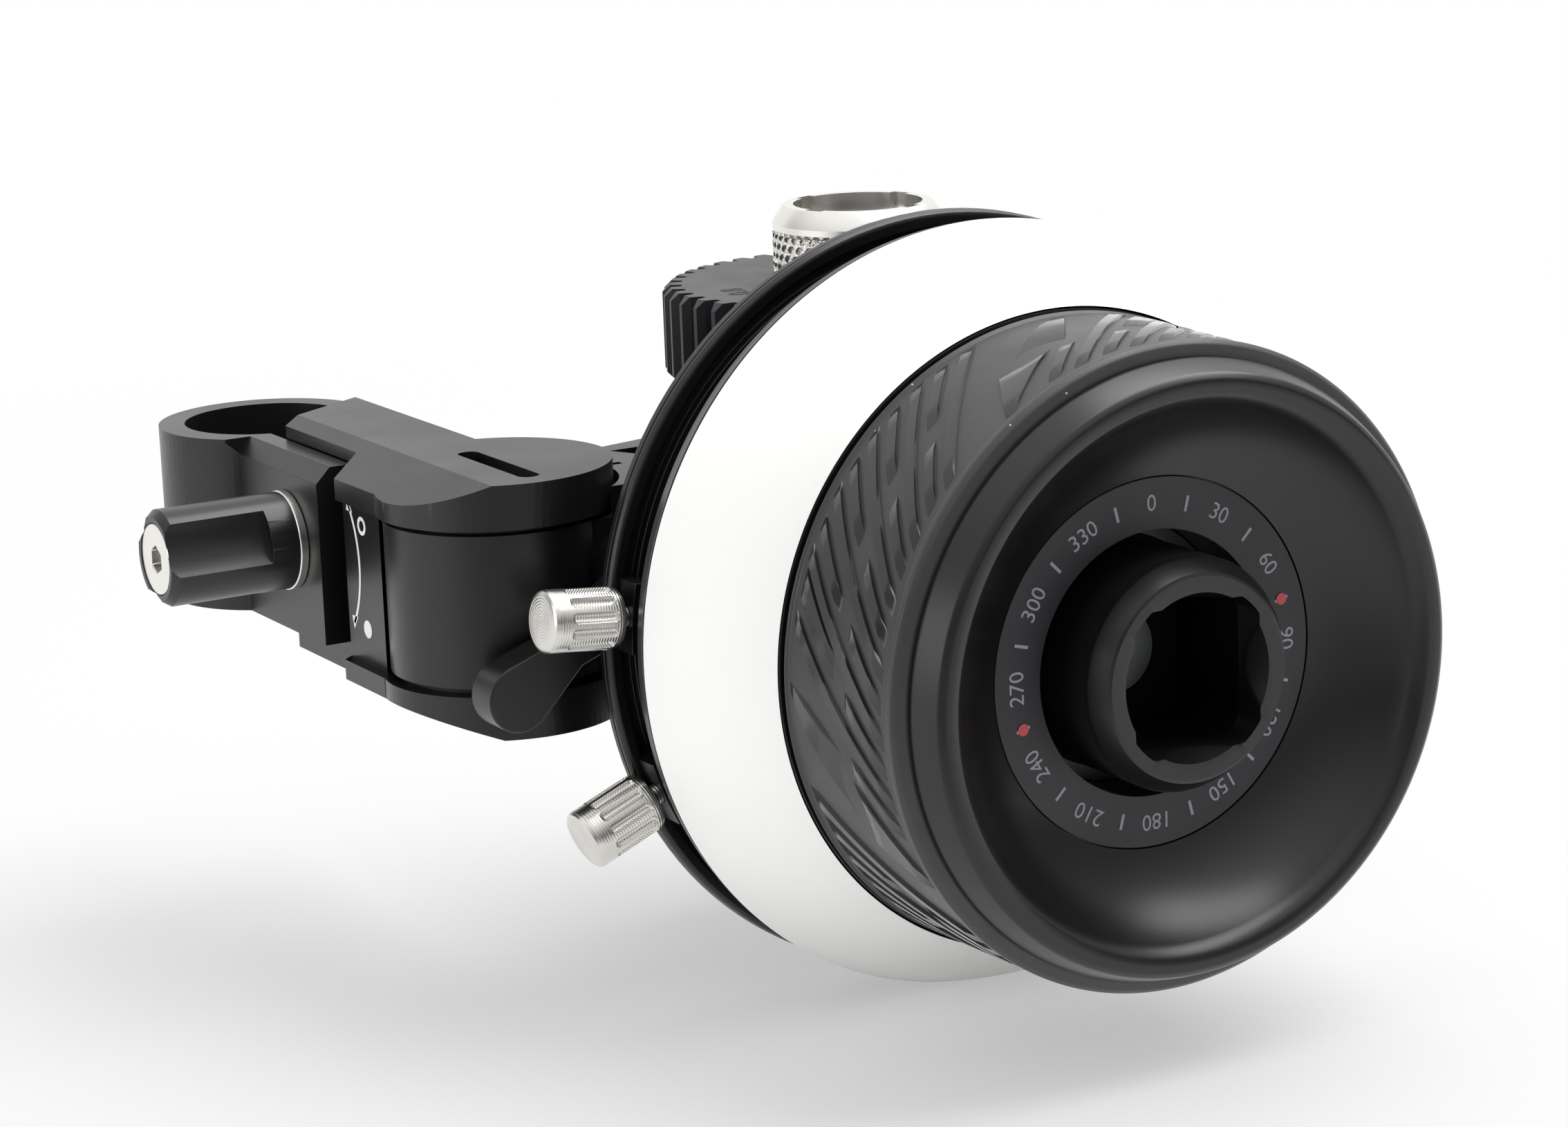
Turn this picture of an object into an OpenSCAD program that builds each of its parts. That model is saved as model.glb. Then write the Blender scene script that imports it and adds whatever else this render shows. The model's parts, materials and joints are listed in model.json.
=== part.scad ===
/* [Rod clamp] */
// Radius of the round rod that the clamp ring grips
rod_r = 7.5; // [6:0.5:9.5]
// Wall of the clamp ring
ring_wall = 2.4; // [2:0.1:4]
// Height of the clamp ring
ring_h = 16; // [14:0.5:17]
// Slit between the ear and the bracket body
slit_w = 1.4; // [1:0.1:2]
// Thickness of the ear that the clamp knob pulls in
ear_t = 3.4; // [2.8:0.1:4]
// Distance from the rod axis to the clamp knob axis, towards the hand wheel
knob_y = 17.8; // [16:0.2:19]
// Distance from the rod axis to the free end of the ear
ear_end = 24.6; // [23.6:0.2:25.2]

/* [Bracket] */
// Distance from the rod axis to the arm pivot, towards the hand wheel
pivot_y = 39.8; // [39:0.2:44]
// Sideways offset of the arm pivot from the rod axis
pivot_x = 4; // [3:0.2:5]
// Thickness of the top and bottom plates
plate_t = 3.9; // [3.4:0.1:4.6]
// Room between the two plates for the arm's barrel
barrel_gap = 14.3; // [13.5:0.1:15]
// Height of the top plate's upper face over the middle of the ring
bracket_top = 9.8; // [9.4:0.1:10.2]
// Radius of the round plate ends
plate_end_r = 10.3; // [10:0.1:10.8]
// Left face of the bracket body, from the rod axis
side_x = 5.9; // [5.6:0.1:6.6]
// How far the body stands back from the edge of its two plates
body_inset = 1.1; // [0.6:0.1:1.4]

/* [Arm] */
// Radius of the barrel on the arm
barrel_r = 9.65; // [9:0.05:9.8]
// Radius of the pivot bolt's shank
pivot_r = 4; // [3:0.25:5]
// Thickness of each friction washer
friction_t = 0.5; // [0.4:0.1:0.8]
// Width of the slit that the lock lever closes
arm_slit = 0.8; // [0.6:0.1:1.2]
// Running clearance on round fits, radial
run = 0.05; // [0.02:0.01:0.09]
// Clearance between faces that pass each other
gap = 0.2; // [0.15:0.05:0.3]

/* [Hand wheel] */
// Wheel axis, to the right of the rod axis
wheel_x = 39.3; // [38:0.2:42]
// Wheel axis, below the middle of the clamp ring
wheel_drop = 4; // [3.4:0.2:4.6]
// Front of the wheel rim, from the rod axis
wheel_front = 93.9; // [93.9:0.1:96]
// Radius of the front flange at its back edge
flange_r = 25.5; // [25:0.1:26]
// Largest radius of the rubber grip
grip_r = 27.2; // [26.4:0.1:27.2]
// Radius of the marking disc
disc_r = 33.35; // [33:0.05:34]
// Wall of the marking disc
disc_wall = 1.5; // [1.2:0.1:2]
// Radius of the hub with the crank socket
hub_r = 9.7; // [9.4:0.1:10]
// Width of the square crank socket
socket_w = 12.2; // [11:0.2:12.6]
// Depth of the crank socket
socket_depth = 11.5; // [9:0.5:12]

/* [Hard stops] */
// Angle of the first hard stop round the wheel, from the right
stop_a_angle = 174.5; // [172:0.5:177]
// Angle of the second hard stop round the wheel
stop_b_angle = 202.5; // [200:0.5:205]
// Radius of a thumbscrew head
thumb_r = 2.65; // [2.5:0.05:3]
// Length of a thumbscrew head
thumb_len = 6.8; // [6:0.2:8]

/* [Gear train] */
// Teeth of the lens gear
gear_teeth = 43; // [42:1:46]
// Width of the lens gear
gear_w = 8.3; // [7.5:0.1:8.6]
// Underside of the lens gear over the middle of the clamp ring
gear_z = 12.4; // [12.2:0.1:12.8]
// Lens gear axis, to the right of the wheel axis
gear_dx = 4.8; // [4.4:0.1:5.2]
// Radius of the knurled lock nut
nut_r = 7.8; // [7.4:0.1:8.4]
// Height of the knurled lock nut
nut_h = 6.8; // [6.2:0.1:7.4]

/* [Hidden] */
$fn = 64;

// Tooth sizes of the lens gear, the spur pair and the bevel pair
gear_module = 0.8;
spur_module = 0.5;
spur_teeth = 24;
bevel_module = 0.6;
bevel_teeth = 20;

// Bracket heights
gap_top = bracket_top - plate_t;
gap_low = gap_top - barrel_gap;
bracket_low = gap_low - plate_t + 0.1;
ring_r = rod_r + ring_wall;
ear_x = -side_x + ear_t;
core_left = ear_x + slit_w;
core_right = 7.2;
plate_left = ear_x + gap;
facet_x = -0.6;
facet_side = 2;
block_front = ear_end + 3;
knob_z = 0.5;
bolt_r = 2.5;
insert_r = 3.6;
insert_len = core_right - core_left - 1.4;

// Arm heights and the lock lever
barrel_top = gap_top - friction_t - run;
barrel_low = gap_low + friction_t + run;
link_top = gap_top + 2.1;
link_low = gap_low + 0.2;
link_clear = plate_end_r + 0.5;
slot_depth = 1.3;
bolt_reach = plate_t - slot_depth + 0.4;
lever_x = pivot_x + 9.1;
lever_z = 0.2;
lever_t = 3.6;
stud_r = 2;
lever_tip = [-14.4, -7.6];

// Depths along the wheel axis, from the front of the rim
rim_t = 3.2;
label_d = 6.6;
label_t = 0.6;
label_in = 11;
label_out = 15.35;
well_d = 12.2;
web_d = 14.4;
core_r = 22.5;
core_back = 24;
grip_front = rim_t + 0.1;
bowl_out = 22.3;
bowl_slope = [20, 62];
grip_back = 20;
disc_front = 20.1;
disc_back = 31.8;
disc_in = grip_r + 0.15;
drum_back = 34.7;
drum_r = disc_r - 1.55;
plate_front = 37.7;
plate_back = 39.7;
plate_r = disc_r + 0.05;
wall_r = drum_r - 1.8;
wall_front = 35.2;
housing_front = plate_back + 0.1;

// Wheel shaft and its bearings
shaft_r = 5;
race_in = 6.2;
race_out = 8;
snout_r = 10.5;
snout_front = 24.3;
bearing_w = 4;
bearing_d = [24.5, 33.4];
bearing_end = bearing_d[1] + bearing_w;
clip_w = 0.9;
carrier_wall = 3.3;
spigot_d = 15.5;
boss_back = 20;

// Gear train places, in depth behind the rim and height over the wheel axis
centre_dist = spur_module * spur_teeth;
gear_tip = gear_module * (gear_teeth / 2 + 0.95);
output_d = plate_back + gear_tip + 1.14;
idler_d = output_d - sqrt(centre_dist * centre_dist - gear_dx * gear_dx);
bevel_r = bevel_module * bevel_teeth / 2;
bevel_face = 2.6;
bevel_hub = 2;
bevel_pin_at = bevel_r + 1.2;
shaft_shoulder = idler_d - bevel_r - bevel_hub - 0.2;
stub_r = 2.5;
idler_r = 2;
output_r = 3;
spur_z = bevel_r + 0.8;
spur_w = 2.8;
cavity_low = -bevel_r - 3.8;
cavity_top = spur_z + spur_w + 0.3;
floor_t = 3.7;
roof_t = 2.8;
cavity_left = -7.1;
cavity_right = gear_dx + 7.1;
cavity_front = idler_d - 6.7;
wall_t = 2.7;
housing_left = cavity_left - wall_t;
housing_right = cavity_right + wall_t;
housing_back = output_d + 8.8;
cover_t = 2;
screw_places = [[housing_left + wall_t / 2, 9.2], [housing_left + wall_t / 2, -10],
    [housing_right - wall_t / 2, 8], [housing_right - wall_t / 2, -10]];
roof_z = cavity_top + roof_t - wheel_drop;

// Hard stops
stop_front = drum_back + 0.3;
stop_back = plate_front - 0.1;
stop_d = (stop_front + stop_back) / 2;
stop_w = 6;
stop_foot = wall_r + 0.1;
stop_head = drum_r + 0.8;
stop_stud_r = 0.9;
tongue_in = wall_r + 1.1;
tongue_out = wall_r + 2.1;
thumb_base = plate_r + gap;
dog_angle = 8.5;
dog_w = 2.7;
dog_in = wall_r + 0.75;
dog_out = drum_r - 0.15;

// The hand wheel's frame: depth runs along local +Z
module at_wheel() {
    translate([wheel_x, -wheel_front, -wheel_drop]) rotate([-90, 0, 0]) children();
}

// A place beside the wheel axis, given to the right, in depth and in height
module at_train(right, depth, height) {
    translate([wheel_x + right, -wheel_front + depth, -wheel_drop + height]) children();
}

// A turn round the wheel axis, from the right towards the top
module round_wheel(angle) {
    at_wheel() rotate([0, 0, -angle]) children();
}

module ring(r_in, r_out, z0, z1) {
    translate([0, 0, z0]) difference() {
        cylinder(r = r_out, h = z1 - z0);
        translate([0, 0, -1]) cylinder(r = r_in, h = z1 - z0 + 2);
    }
}

module turned(points) {
    rotate_extrude($fn = 96) polygon(points);
}

// Flat outline with round corners
module rounded_rect(x0, y0, x1, y1, r) {
    translate([x0 + r, y0]) square([x1 - x0 - 2 * r, y1 - y0]);
    translate([x0, y0 + r]) square([x1 - x0, y1 - y0 - 2 * r]);
    for (x = [x0 + r, x1 - r], y = [y0 + r, y1 - r])
        translate([x, y]) circle(r = r);
}

// Outline of a bracket plate: a bar beside the rod, a step and a round end
module plate_outline() {
    difference() {
        union() {
            translate([pivot_x, -pivot_y]) circle(r = plate_end_r);
            translate([plate_left, -pivot_y]) square([core_right - plate_left, pivot_y]);
            polygon([[plate_left + 1, -block_front + 3], [plate_left, -block_front + 2],
                [-side_x, -block_front - 1], [-side_x, -pivot_y + 3],
                [pivot_x, -pivot_y], [pivot_x, -block_front]]);
        }
        rotate(30) translate([-40, -rod_r - 0.1]) square([80, 40]);
    }
}

// Sloping facet that takes the left edge off a plate
module plate_facet(sign) {
    translate([0, 5, 0]) rotate([90, 0, 0]) linear_extrude(height = pivot_y + 20)
        polygon([[facet_x, 0], [facet_x - 20, -sign * facet_side * 20 / (side_x + facet_x)],
            [facet_x - 20, sign * 6], [facet_x, sign * 6]]);
}

// Rod clamp ring, ear and bracket body in one machined piece
module rod_bracket() {
    color("#1d1d1f") difference() {
        union() {
            translate([0, 0, -ring_h / 2]) cylinder(r = ring_r, h = ring_h);
            translate([-side_x, -ear_end, -ring_h / 2]) cube([ear_t, ear_end - 4, ring_h]);
            translate([core_left, -block_front, gap_low])
                cube([core_right - core_left, block_front - 5, barrel_gap]);
            translate([body_inset - side_x, -pivot_y, gap_low])
                cube([side_x + core_right - body_inset, pivot_y - block_front, barrel_gap]);
            difference() {
                translate([0, 0, gap_top]) linear_extrude(height = plate_t) plate_outline();
                translate([0, 0, bracket_top]) plate_facet(1);
                translate([pivot_x - 1.1, -pivot_y - 8, bracket_top - slot_depth])
                    linear_extrude(height = 2) rounded_rect(0, 0, 1.9, 13.2, 0.9);
            }
            difference() {
                translate([0, 0, bracket_low])
                    linear_extrude(height = gap_low - bracket_low) plate_outline();
                translate([0, 0, bracket_low]) plate_facet(-1);
            }
        }
        // rod bore
        translate([0, 0, -20]) cylinder(r = rod_r, h = 40);
        // slit between the ear and the body, and the ear's free end
        translate([ear_x, -block_front, gap_low]) cube([slit_w, block_front - 5, ring_h / 2 - gap_low + run]);
        translate([-side_x - 1, -block_front, gap_low])
            cube([core_left + side_x + 1, block_front - ear_end, barrel_gap]);
        // room for the arm's barrel
        translate([pivot_x, -pivot_y, gap_low]) cylinder(r = barrel_r + 0.35, h = barrel_gap);
        // pivot bolt: head, shank and thread
        translate([pivot_x, -pivot_y, bracket_low - 1]) cylinder(r = pivot_r, h = 10);
        translate([pivot_x, -pivot_y, bracket_low - 1]) cylinder(r = pivot_r + 2, h = 2.6);
        translate([pivot_x, -pivot_y, gap_top - 1]) cylinder(r = pivot_r - 1, h = bolt_reach + 0.2);
        // clamp bolt and its threaded insert
        translate([-side_x - 1, -knob_y, knob_z]) rotate([0, 90, 0])
            cylinder(r = bolt_r + 0.15, h = ear_t + 2);
        translate([core_left - 1, -knob_y, knob_z]) rotate([0, 90, 0])
            cylinder(r = insert_r, h = insert_len + 1);
        // sloping top edge of the ear
        translate([-side_x, -ear_end - 1, ring_h / 2]) rotate([0, 45, 0])
            translate([-1, 0, -1]) cube([2, ear_end - 6, 2]);
    }
}

module clamp_insert() {
    color("#b8a46a") translate([core_left, -knob_y, knob_z]) rotate([0, 90, 0])
        ring(bolt_r + run, insert_r, 0, insert_len);
}

// Shoulder bolt that the arm turns on
module pivot_bolt() {
    color("#8e9094") translate([pivot_x, -pivot_y, 0]) difference() {
        union() {
            translate([0, 0, bracket_low]) cylinder(r = pivot_r + 2, h = 1.6);
            translate([0, 0, bracket_low]) cylinder(r = pivot_r, h = gap_top - bracket_low);
            translate([0, 0, gap_top - 1]) cylinder(r = pivot_r - 1, h = bolt_reach);
        }
        translate([0, 0, bracket_low - 1]) cylinder(r = 2.3, h = 3.4, $fn = 6);
    }
}

module friction_washers() {
    color("#3a3a3c") translate([pivot_x, -pivot_y, 0]) {
        ring(pivot_r + run, barrel_r - 0.9, gap_top - friction_t, gap_top);
        ring(pivot_r + run, barrel_r - 0.9, gap_low, gap_low + friction_t);
    }
}

// Clamp knob group: local +Z runs out along the knob, away from the ear
washer_t = 0.8;
knob_r = 4.4;
knob_len = 12;
module at_knob() {
    translate([-side_x, -knob_y, knob_z]) rotate([0, -90, 0]) children();
}

module clamp_washer() {
    color("#c9c9c6") at_knob() ring(bolt_r + run, knob_r + 0.1, 0, washer_t);
}

module clamp_knob() {
    scoop_r = 7;
    color("#1d1d1f") at_knob() difference() {
        turned([[bolt_r, washer_t], [knob_r, washer_t], [knob_r, washer_t + knob_len - 0.6],
            [knob_r - 0.6, washer_t + knob_len], [bolt_r, washer_t + knob_len]]);
        for (i = [0:2]) rotate([0, 0, 120 * i + 50])
            translate([knob_r + scoop_r - 1.15, 0, washer_t + 2.6]) cylinder(r = scoop_r, h = knob_len);
        translate([0, 0, washer_t + knob_len - 1.4]) cylinder(r1 = bolt_r, r2 = 3.3, h = 1.4);
    }
}

module clamp_bolt() {
    reach = side_x + core_left + insert_len - 0.5;
    color("#d2d2d0") at_knob() difference() {
        union() {
            translate([0, 0, -reach]) cylinder(r = bolt_r, h = reach + washer_t + knob_len - 1.4);
            translate([0, 0, washer_t + knob_len - 1.4]) cylinder(r1 = bolt_r, r2 = 3.2, h = 1.3);
        }
        translate([0, 0, washer_t + knob_len - 1.9]) cylinder(r = 1.3, h = 4, $fn = 6);
    }
}

// Plan of the arm between its barrel and the gear housing
module link_outline() {
    reach = wheel_x + housing_left - pivot_x + 0.5;
    translate([pivot_x, -pivot_y])
        polygon([[0, 6.8], [12, 6.8], [reach, 9.6], [reach, -8.2], [0, -8.2]]);
}

// Barrel, link, gear case and bearing snout in one casting
module gear_housing() {
    color("#232325") difference() {
        union() {
            translate([pivot_x, -pivot_y, barrel_low]) cylinder(r = barrel_r, h = barrel_top - barrel_low);
            translate([0, 0, barrel_low]) linear_extrude(height = barrel_top - barrel_low) link_outline();
            translate([0, 0, link_low]) linear_extrude(height = link_top - link_low) difference() {
                link_outline();
                translate([pivot_x, -pivot_y]) circle(r = link_clear);
            }
            translate([wheel_x, -wheel_front, -wheel_drop + cavity_low - floor_t])
                linear_extrude(height = cavity_top - cavity_low + floor_t + roof_t)
                    rounded_rect(housing_left, housing_front, housing_right, housing_back, 2.4);
            at_wheel() translate([0, 0, snout_front]) cylinder(r = snout_r, h = housing_front - snout_front + 1);
            at_train(gear_dx, output_d, cavity_top + roof_t) cylinder(r = 6.4, h = 1.2);
            // pad under the lock lever
            translate([lever_x, -pivot_y - 8.2 - 2, lever_z]) rotate([-90, 0, 0]) cylinder(r = 4.4, h = 4);
        }
        // gear cavity, open at the back
        at_train(cavity_left, cavity_front, cavity_low)
            cube([cavity_right - cavity_left, housing_back - cavity_front + 1, cavity_top - cavity_low]);
        // bearing seats and the way through to the cavity
        at_wheel() {
            translate([0, 0, snout_front - 1])
                cylinder(r = race_out, h = bearing_d[1] + bearing_w - snout_front + 1);
            translate([0, 0, 30]) cylinder(r = bevel_r + 0.8, h = cavity_front - 29);
        }
        // shaft bush seats
        at_train(0, idler_d, cavity_low - 3.2) cylinder(r = idler_r + 1.5, h = 4);
        at_train(0, idler_d, cavity_top - 1) cylinder(r = idler_r + 1.5, h = 3);
        at_train(gear_dx, output_d, cavity_low - 3.2) cylinder(r = output_r + 1.5, h = 4);
        at_train(gear_dx, output_d, cavity_top - 1) cylinder(r = output_r + 1.5, h = 9);
        // pivot bore, clamp slit and lever stud
        translate([pivot_x, -pivot_y, -20]) cylinder(r = pivot_r + run, h = 40);
        translate([pivot_x, -pivot_y - arm_slit / 2, -20]) cube([12.4, arm_slit, 40]);
        translate([lever_x, -pivot_y - 12, lever_z]) rotate([-90, 0, 0]) cylinder(r = stud_r + 0.15, h = 12);
        translate([lever_x, -pivot_y, lever_z]) rotate([-90, 0, 0]) cylinder(r = stud_r + 1, h = 5);
        // pocket in the top of the link
        translate([pivot_x, -pivot_y, link_top - 6]) linear_extrude(height = 8)
            polygon([[14, 5.2], [23, 5.2], [23, -6.2], [19.5, -6.2]]);
        // screw holes at both ends of the case
        for (p = screw_places) {
            at_train(p[0], housing_front - 1, p[1]) rotate([-90, 0, 0]) cylinder(r = 0.8, h = 7);
            at_train(p[0], housing_back - 6, p[1]) rotate([-90, 0, 0]) cylinder(r = 0.8, h = 7);
        }
    }
}

module housing_cover() {
    color("#232325") difference() {
        union() {
            at_train(0, housing_back, 0) rotate([-90, 0, 0]) linear_extrude(height = cover_t)
                rounded_rect(housing_left, -cavity_top - roof_t, housing_right,
                    floor_t - cavity_low, 2.4);
            at_train(cavity_left + 0.1, housing_back - 1, cavity_low + 0.1)
                cube([cavity_right - cavity_left - 0.2, 1.5, cavity_top - cavity_low - 0.2]);
        }
        for (p = screw_places)
            at_train(p[0], housing_back - 1, p[1]) rotate([-90, 0, 0]) {
                cylinder(r = 0.9, h = 6);
                translate([0, 0, 2]) cylinder(r = 1.25, h = 6);
            }
    }
}

// Cap screw with a hexagon socket, head outwards along +Z
module small_screw(r, head_r, head_h, len, key) {
    difference() {
        union() {
            cylinder(r = head_r, h = head_h);
            translate([0, 0, -len]) cylinder(r = r, h = len);
        }
        translate([0, 0, head_h - 0.7]) cylinder(r = key, h = 1, $fn = 6);
    }
}

module cover_screws() {
    color("#2a2a2c") for (p = screw_places)
        at_train(p[0], housing_back + 1, p[1]) rotate([-90, 0, 0]) small_screw(0.8, 1.2, 1, 5.5, 0.6);
}

// Fixed plate behind the wheel, with the wall and groove that guide the stops
module back_plate() {
    color("#222224") difference() {
        at_wheel() turned([[snout_r + run, plate_front], [wall_r - 3, plate_front], [wall_r - 3, wall_front], [wall_r, wall_front],
            [wall_r, plate_front], [tongue_in - 0.1, plate_front], [tongue_in - 0.1, plate_front + 0.9],
            [tongue_out + 0.1, plate_front + 0.9], [tongue_out + 0.1, plate_front], [plate_r - 0.5, plate_front],
            [plate_r - 0.15, plate_front + 0.15], [plate_r, plate_front + 0.5], [plate_r, plate_front + 0.8],
            [plate_r - 0.25, plate_front + 0.8], [plate_r - 0.25, plate_front + 0.95], [plate_r, plate_front + 0.95],
            [plate_r, plate_back - 0.4], [plate_r - 0.4, plate_back],
            [snout_r + run, plate_back]]);
        for (p = screw_places) at_train(p[0], plate_front - 1, p[1]) rotate([-90, 0, 0]) {
            cylinder(r = 0.9, h = 5);
            cylinder(r = 1.5, h = 2);
        }
    }
}

module plate_screws() {
    color("#2a2a2c") for (p = screw_places)
        at_train(p[0], plate_front + 1, p[1]) rotate([90, 0, 0]) small_screw(0.8, 1.4, 0.9, 5.5, 0.6);
}

module bearing_outers() {
    color("#b9bcc0") at_wheel() for (d = bearing_d)
        ring(race_in + 0.1, race_out, d, d + bearing_w);
}

module bearing_inners() {
    color("#b9bcc0") at_wheel() for (d = bearing_d)
        ring(shaft_r, race_in, d, d + bearing_w);
}

module bush(r, z0, z1) {
    ring(r + run, r + 1.5, z0, z1);
}

module idler_bushes() {
    color("#a9803f") at_train(0, idler_d, 0) {
        bush(idler_r, cavity_low - 3.2, cavity_low);
        bush(idler_r, cavity_top, cavity_top + 2);
    }
}

module output_bushes() {
    color("#a9803f") at_train(gear_dx, output_d, 0) {
        bush(output_r, cavity_low - 3.2, cavity_low);
        bush(output_r, cavity_top, cavity_top + roof_t + 1.2);
    }
}

module lever_insert() {
    color("#b8a46a") translate([lever_x, -pivot_y + 0.6, lever_z]) rotate([-90, 0, 0])
        ring(stud_r + run, stud_r + 1, 0, 4.2);
}

// Flat lever with a round paddle; local +Z points back along the stud
module at_lever() {
    translate([lever_x, -wheel_front + plate_back + gap, lever_z]) rotate([-90, 0, 0]) children();
}

module lock_lever() {
    color("#1b1b1d") at_lever() difference() {
        linear_extrude(height = lever_t, convexity = 4) {
            circle(r = 4.3);
            hull() {
                translate([-3, 1]) circle(r = 2.4, $fn = 32);
                translate([lever_tip[0] + 5, -lever_tip[1] - 3.2]) circle(r = 1.5, $fn = 32);
            }
            hull() {
                translate([lever_tip[0] + 5, -lever_tip[1] - 3.2]) circle(r = 1.5, $fn = 32);
                translate([lever_tip[0], -lever_tip[1]]) circle(r = 2.9, $fn = 32);
            }
        }
        translate([0, 0, -1]) cylinder(r = stud_r, h = lever_t + 2);
        translate([0, 0, -1]) cylinder(r = stud_r + 1.2, h = 2);
    }
}

module lever_stud() {
    reach = wheel_front - plate_back - gap - pivot_y + 4.4;
    color("#b9bcc0") at_lever() difference() {
        union() {
            translate([0, 0, 0.1]) cylinder(r = stud_r + 1.2, h = 0.9);
            cylinder(r = stud_r, h = reach);
        }
        translate([0, 0, -1]) cylinder(r = 1.1, h = 2.2, $fn = 6);
    }
}

// Round hollow dish, rim, core drum and hub with a shaped crank socket
module hand_wheel() {
    bowl_in = label_out + 0.1;
    bowl_round = (bowl_out - bowl_in) / (sin(bowl_slope[1]) - sin(bowl_slope[0]));
    bowl = [for (t = [bowl_slope[0]:6:bowl_slope[1]]) [bowl_in + bowl_round * (sin(t) - sin(bowl_slope[0])),
        label_d - bowl_round * (cos(bowl_slope[0]) - cos(t))]];
    front = [[0, 0.5], [hub_r - 1.2, 0.5], [hub_r, 2.3], [hub_r, well_d], [label_in, well_d],
        [label_in, label_d + label_t], [label_out + 0.1, label_d + label_t]];
    edge = [[bowl_out + 0.6, 0.15], [bowl_out + 1.2, 0], [flange_r - 1.4, 0.05], [flange_r - 0.9, 0.4],
        [flange_r - 0.4, rim_t / 2], [flange_r, rim_t - 0.4], [flange_r, rim_t], [core_r, rim_t], [core_r, core_back],
        [core_r - 3.5, core_back], [core_r - 3.5, 9.9], [12.6, 9.9], [12.6, web_d], [9, web_d], [9, boss_back],
        [shaft_r, boss_back], [shaft_r, spigot_d], [0, spigot_d]];
    half = socket_w / 2;
    color("#202022") at_wheel() difference() {
        turned(concat(front, bowl, edge));
        linear_extrude(height = 0.5 + socket_depth) rounded_rect(-half, -half, half, half, 2.2);
        translate([0, 0, 0.4]) cylinder(r1 = half + 0.95, r2 = half - 0.3, h = 3.1);
        translate([0, 0, 0.4 + socket_depth]) cylinder(r = 3.7, h = 1.8);
        translate([0, 0, 12]) cylinder(r = 2.1, h = 5);
        for (i = [0:2]) rotate([0, 0, 120 * i + 30]) translate([0, 0, core_back - 2]) rotate([0, 90, 0]) {
            translate([0, 0, core_r - 5.5]) cylinder(r = 1.05, h = 8);
            translate([0, 0, core_r - 5.5]) cylinder(r = 1.7, h = 2.8);
        }
    }
}

// Socket screw that pulls the wheel on to its shaft
module hub_screw() {
    color("#8e9094") at_wheel() translate([0, 0, 2.2 + socket_depth]) rotate([180, 0, 0])
        difference() {
            union() {
                cylinder(r = 3.6, h = 1.7);
                translate([0, 0, -9]) cylinder(r = 2, h = 9);
            }
            translate([0, 0, 0.5]) cylinder(r = 1.5, h = 2, $fn = 6);
        }
}

module grip_ring() {
    color("#3c4043") at_wheel() turned([[core_r + run, grip_front], [grip_r - 1.5, grip_front],
        [grip_r - 0.4, grip_front + 0.6], [grip_r - 0.1, grip_back - 0.5], [grip_r - 0.4, grip_back],
        [core_r + run, grip_back]]);
}

// Bowed white ring that takes pencil marks
module marking_disc() {
    bow = 0.7;
    run_r = disc_r - disc_in;
    run_d = disc_back - disc_front;
    chord = sqrt(run_r * run_r + run_d * run_d);
    skin = [for (i = [0:8]) let (t = i / 8, b = bow * 4 * t * (1 - t))
        [disc_in + run_r * t + b * run_d / chord, disc_front + run_d * t - b * run_r / chord]];
    color("#f2f2f0") at_wheel() turned(concat(skin, [[disc_r - 1.65, disc_back],
        [disc_in, disc_front + disc_wall]]));
}

module disc_carrier() {
    color("#1c1c1e") at_wheel() difference() {
        turned([[core_r + 0.1, grip_back + 0.2], [grip_r, grip_back + 0.2],
            [grip_r, disc_front + disc_wall + 0.3], [disc_r - 1.85, disc_back + 0.1],
            [disc_r, disc_back + 0.1], [disc_r - 0.35, disc_back + 1.6], [drum_r, disc_back + 1.7],
            [drum_r, drum_back], [drum_r - carrier_wall - 0.5, drum_back],
            [drum_r - carrier_wall - 0.5, drum_back - 4.7], [grip_r - 2.7, core_back],
            [core_r + 0.1, core_back]]);
        dog_shape(drum_back - 2.1);
        for (i = [0:2]) rotate([0, 0, 120 * i + 30]) translate([0, 0, core_back - 2])
            rotate([0, 90, 0]) translate([0, 0, core_r - 2]) cylinder(r = 1, h = grip_r - core_r);
    }
}

module carrier_screws() {
    color("#2a2a2c") at_wheel() for (i = [0:2]) rotate([0, 0, 120 * i + 30])
        translate([0, 0, core_back - 2]) rotate([0, 90, 0]) translate([0, 0, core_r - 2.7])
            rotate([180, 0, 0]) small_screw(1, 1.6, 1, grip_r - core_r + 0.6, 0.7);
}

// Block that meets the hard stops
module dog_shape(d0) {
    rotate([0, 0, -dog_angle]) intersection() {
        ring(dog_in, dog_out, d0, drum_back + 2.3);
        translate([dog_in - 3, -dog_w / 2, d0]) cube([6, dog_w, 6]);
    }
}

module stop_dog() {
    color("#8e9094") at_wheel() dog_shape(drum_back - 2);
}

module label_ring() {
    color("#424044") at_wheel() ring(label_in, label_out, label_d, label_d + label_t);
}

module wheel_shaft() {
    color("#b9bcc0") difference() {
        at_wheel() turned([[0, spigot_d], [shaft_r, spigot_d], [shaft_r, bearing_end], [shaft_r - 0.6, bearing_end],
            [shaft_r - 0.6, bearing_end + clip_w + 0.1], [shaft_r, bearing_end + clip_w + 0.1],
            [shaft_r, shaft_shoulder], [stub_r, shaft_shoulder], [stub_r, idler_d - 4.3],
            [0, idler_d - 4.3]]);
        at_wheel() translate([0, 0, spigot_d - 1]) cylinder(r = 2, h = 9.5);
        at_wheel() cross_pin(idler_d - bevel_pin_at, 5);
    }
}

module cross_pin(at, half_len) {
    translate([-half_len, 0, at]) rotate([0, 90, 0]) cylinder(r = 0.6, h = 2 * half_len, $fn = 24);
}

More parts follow.
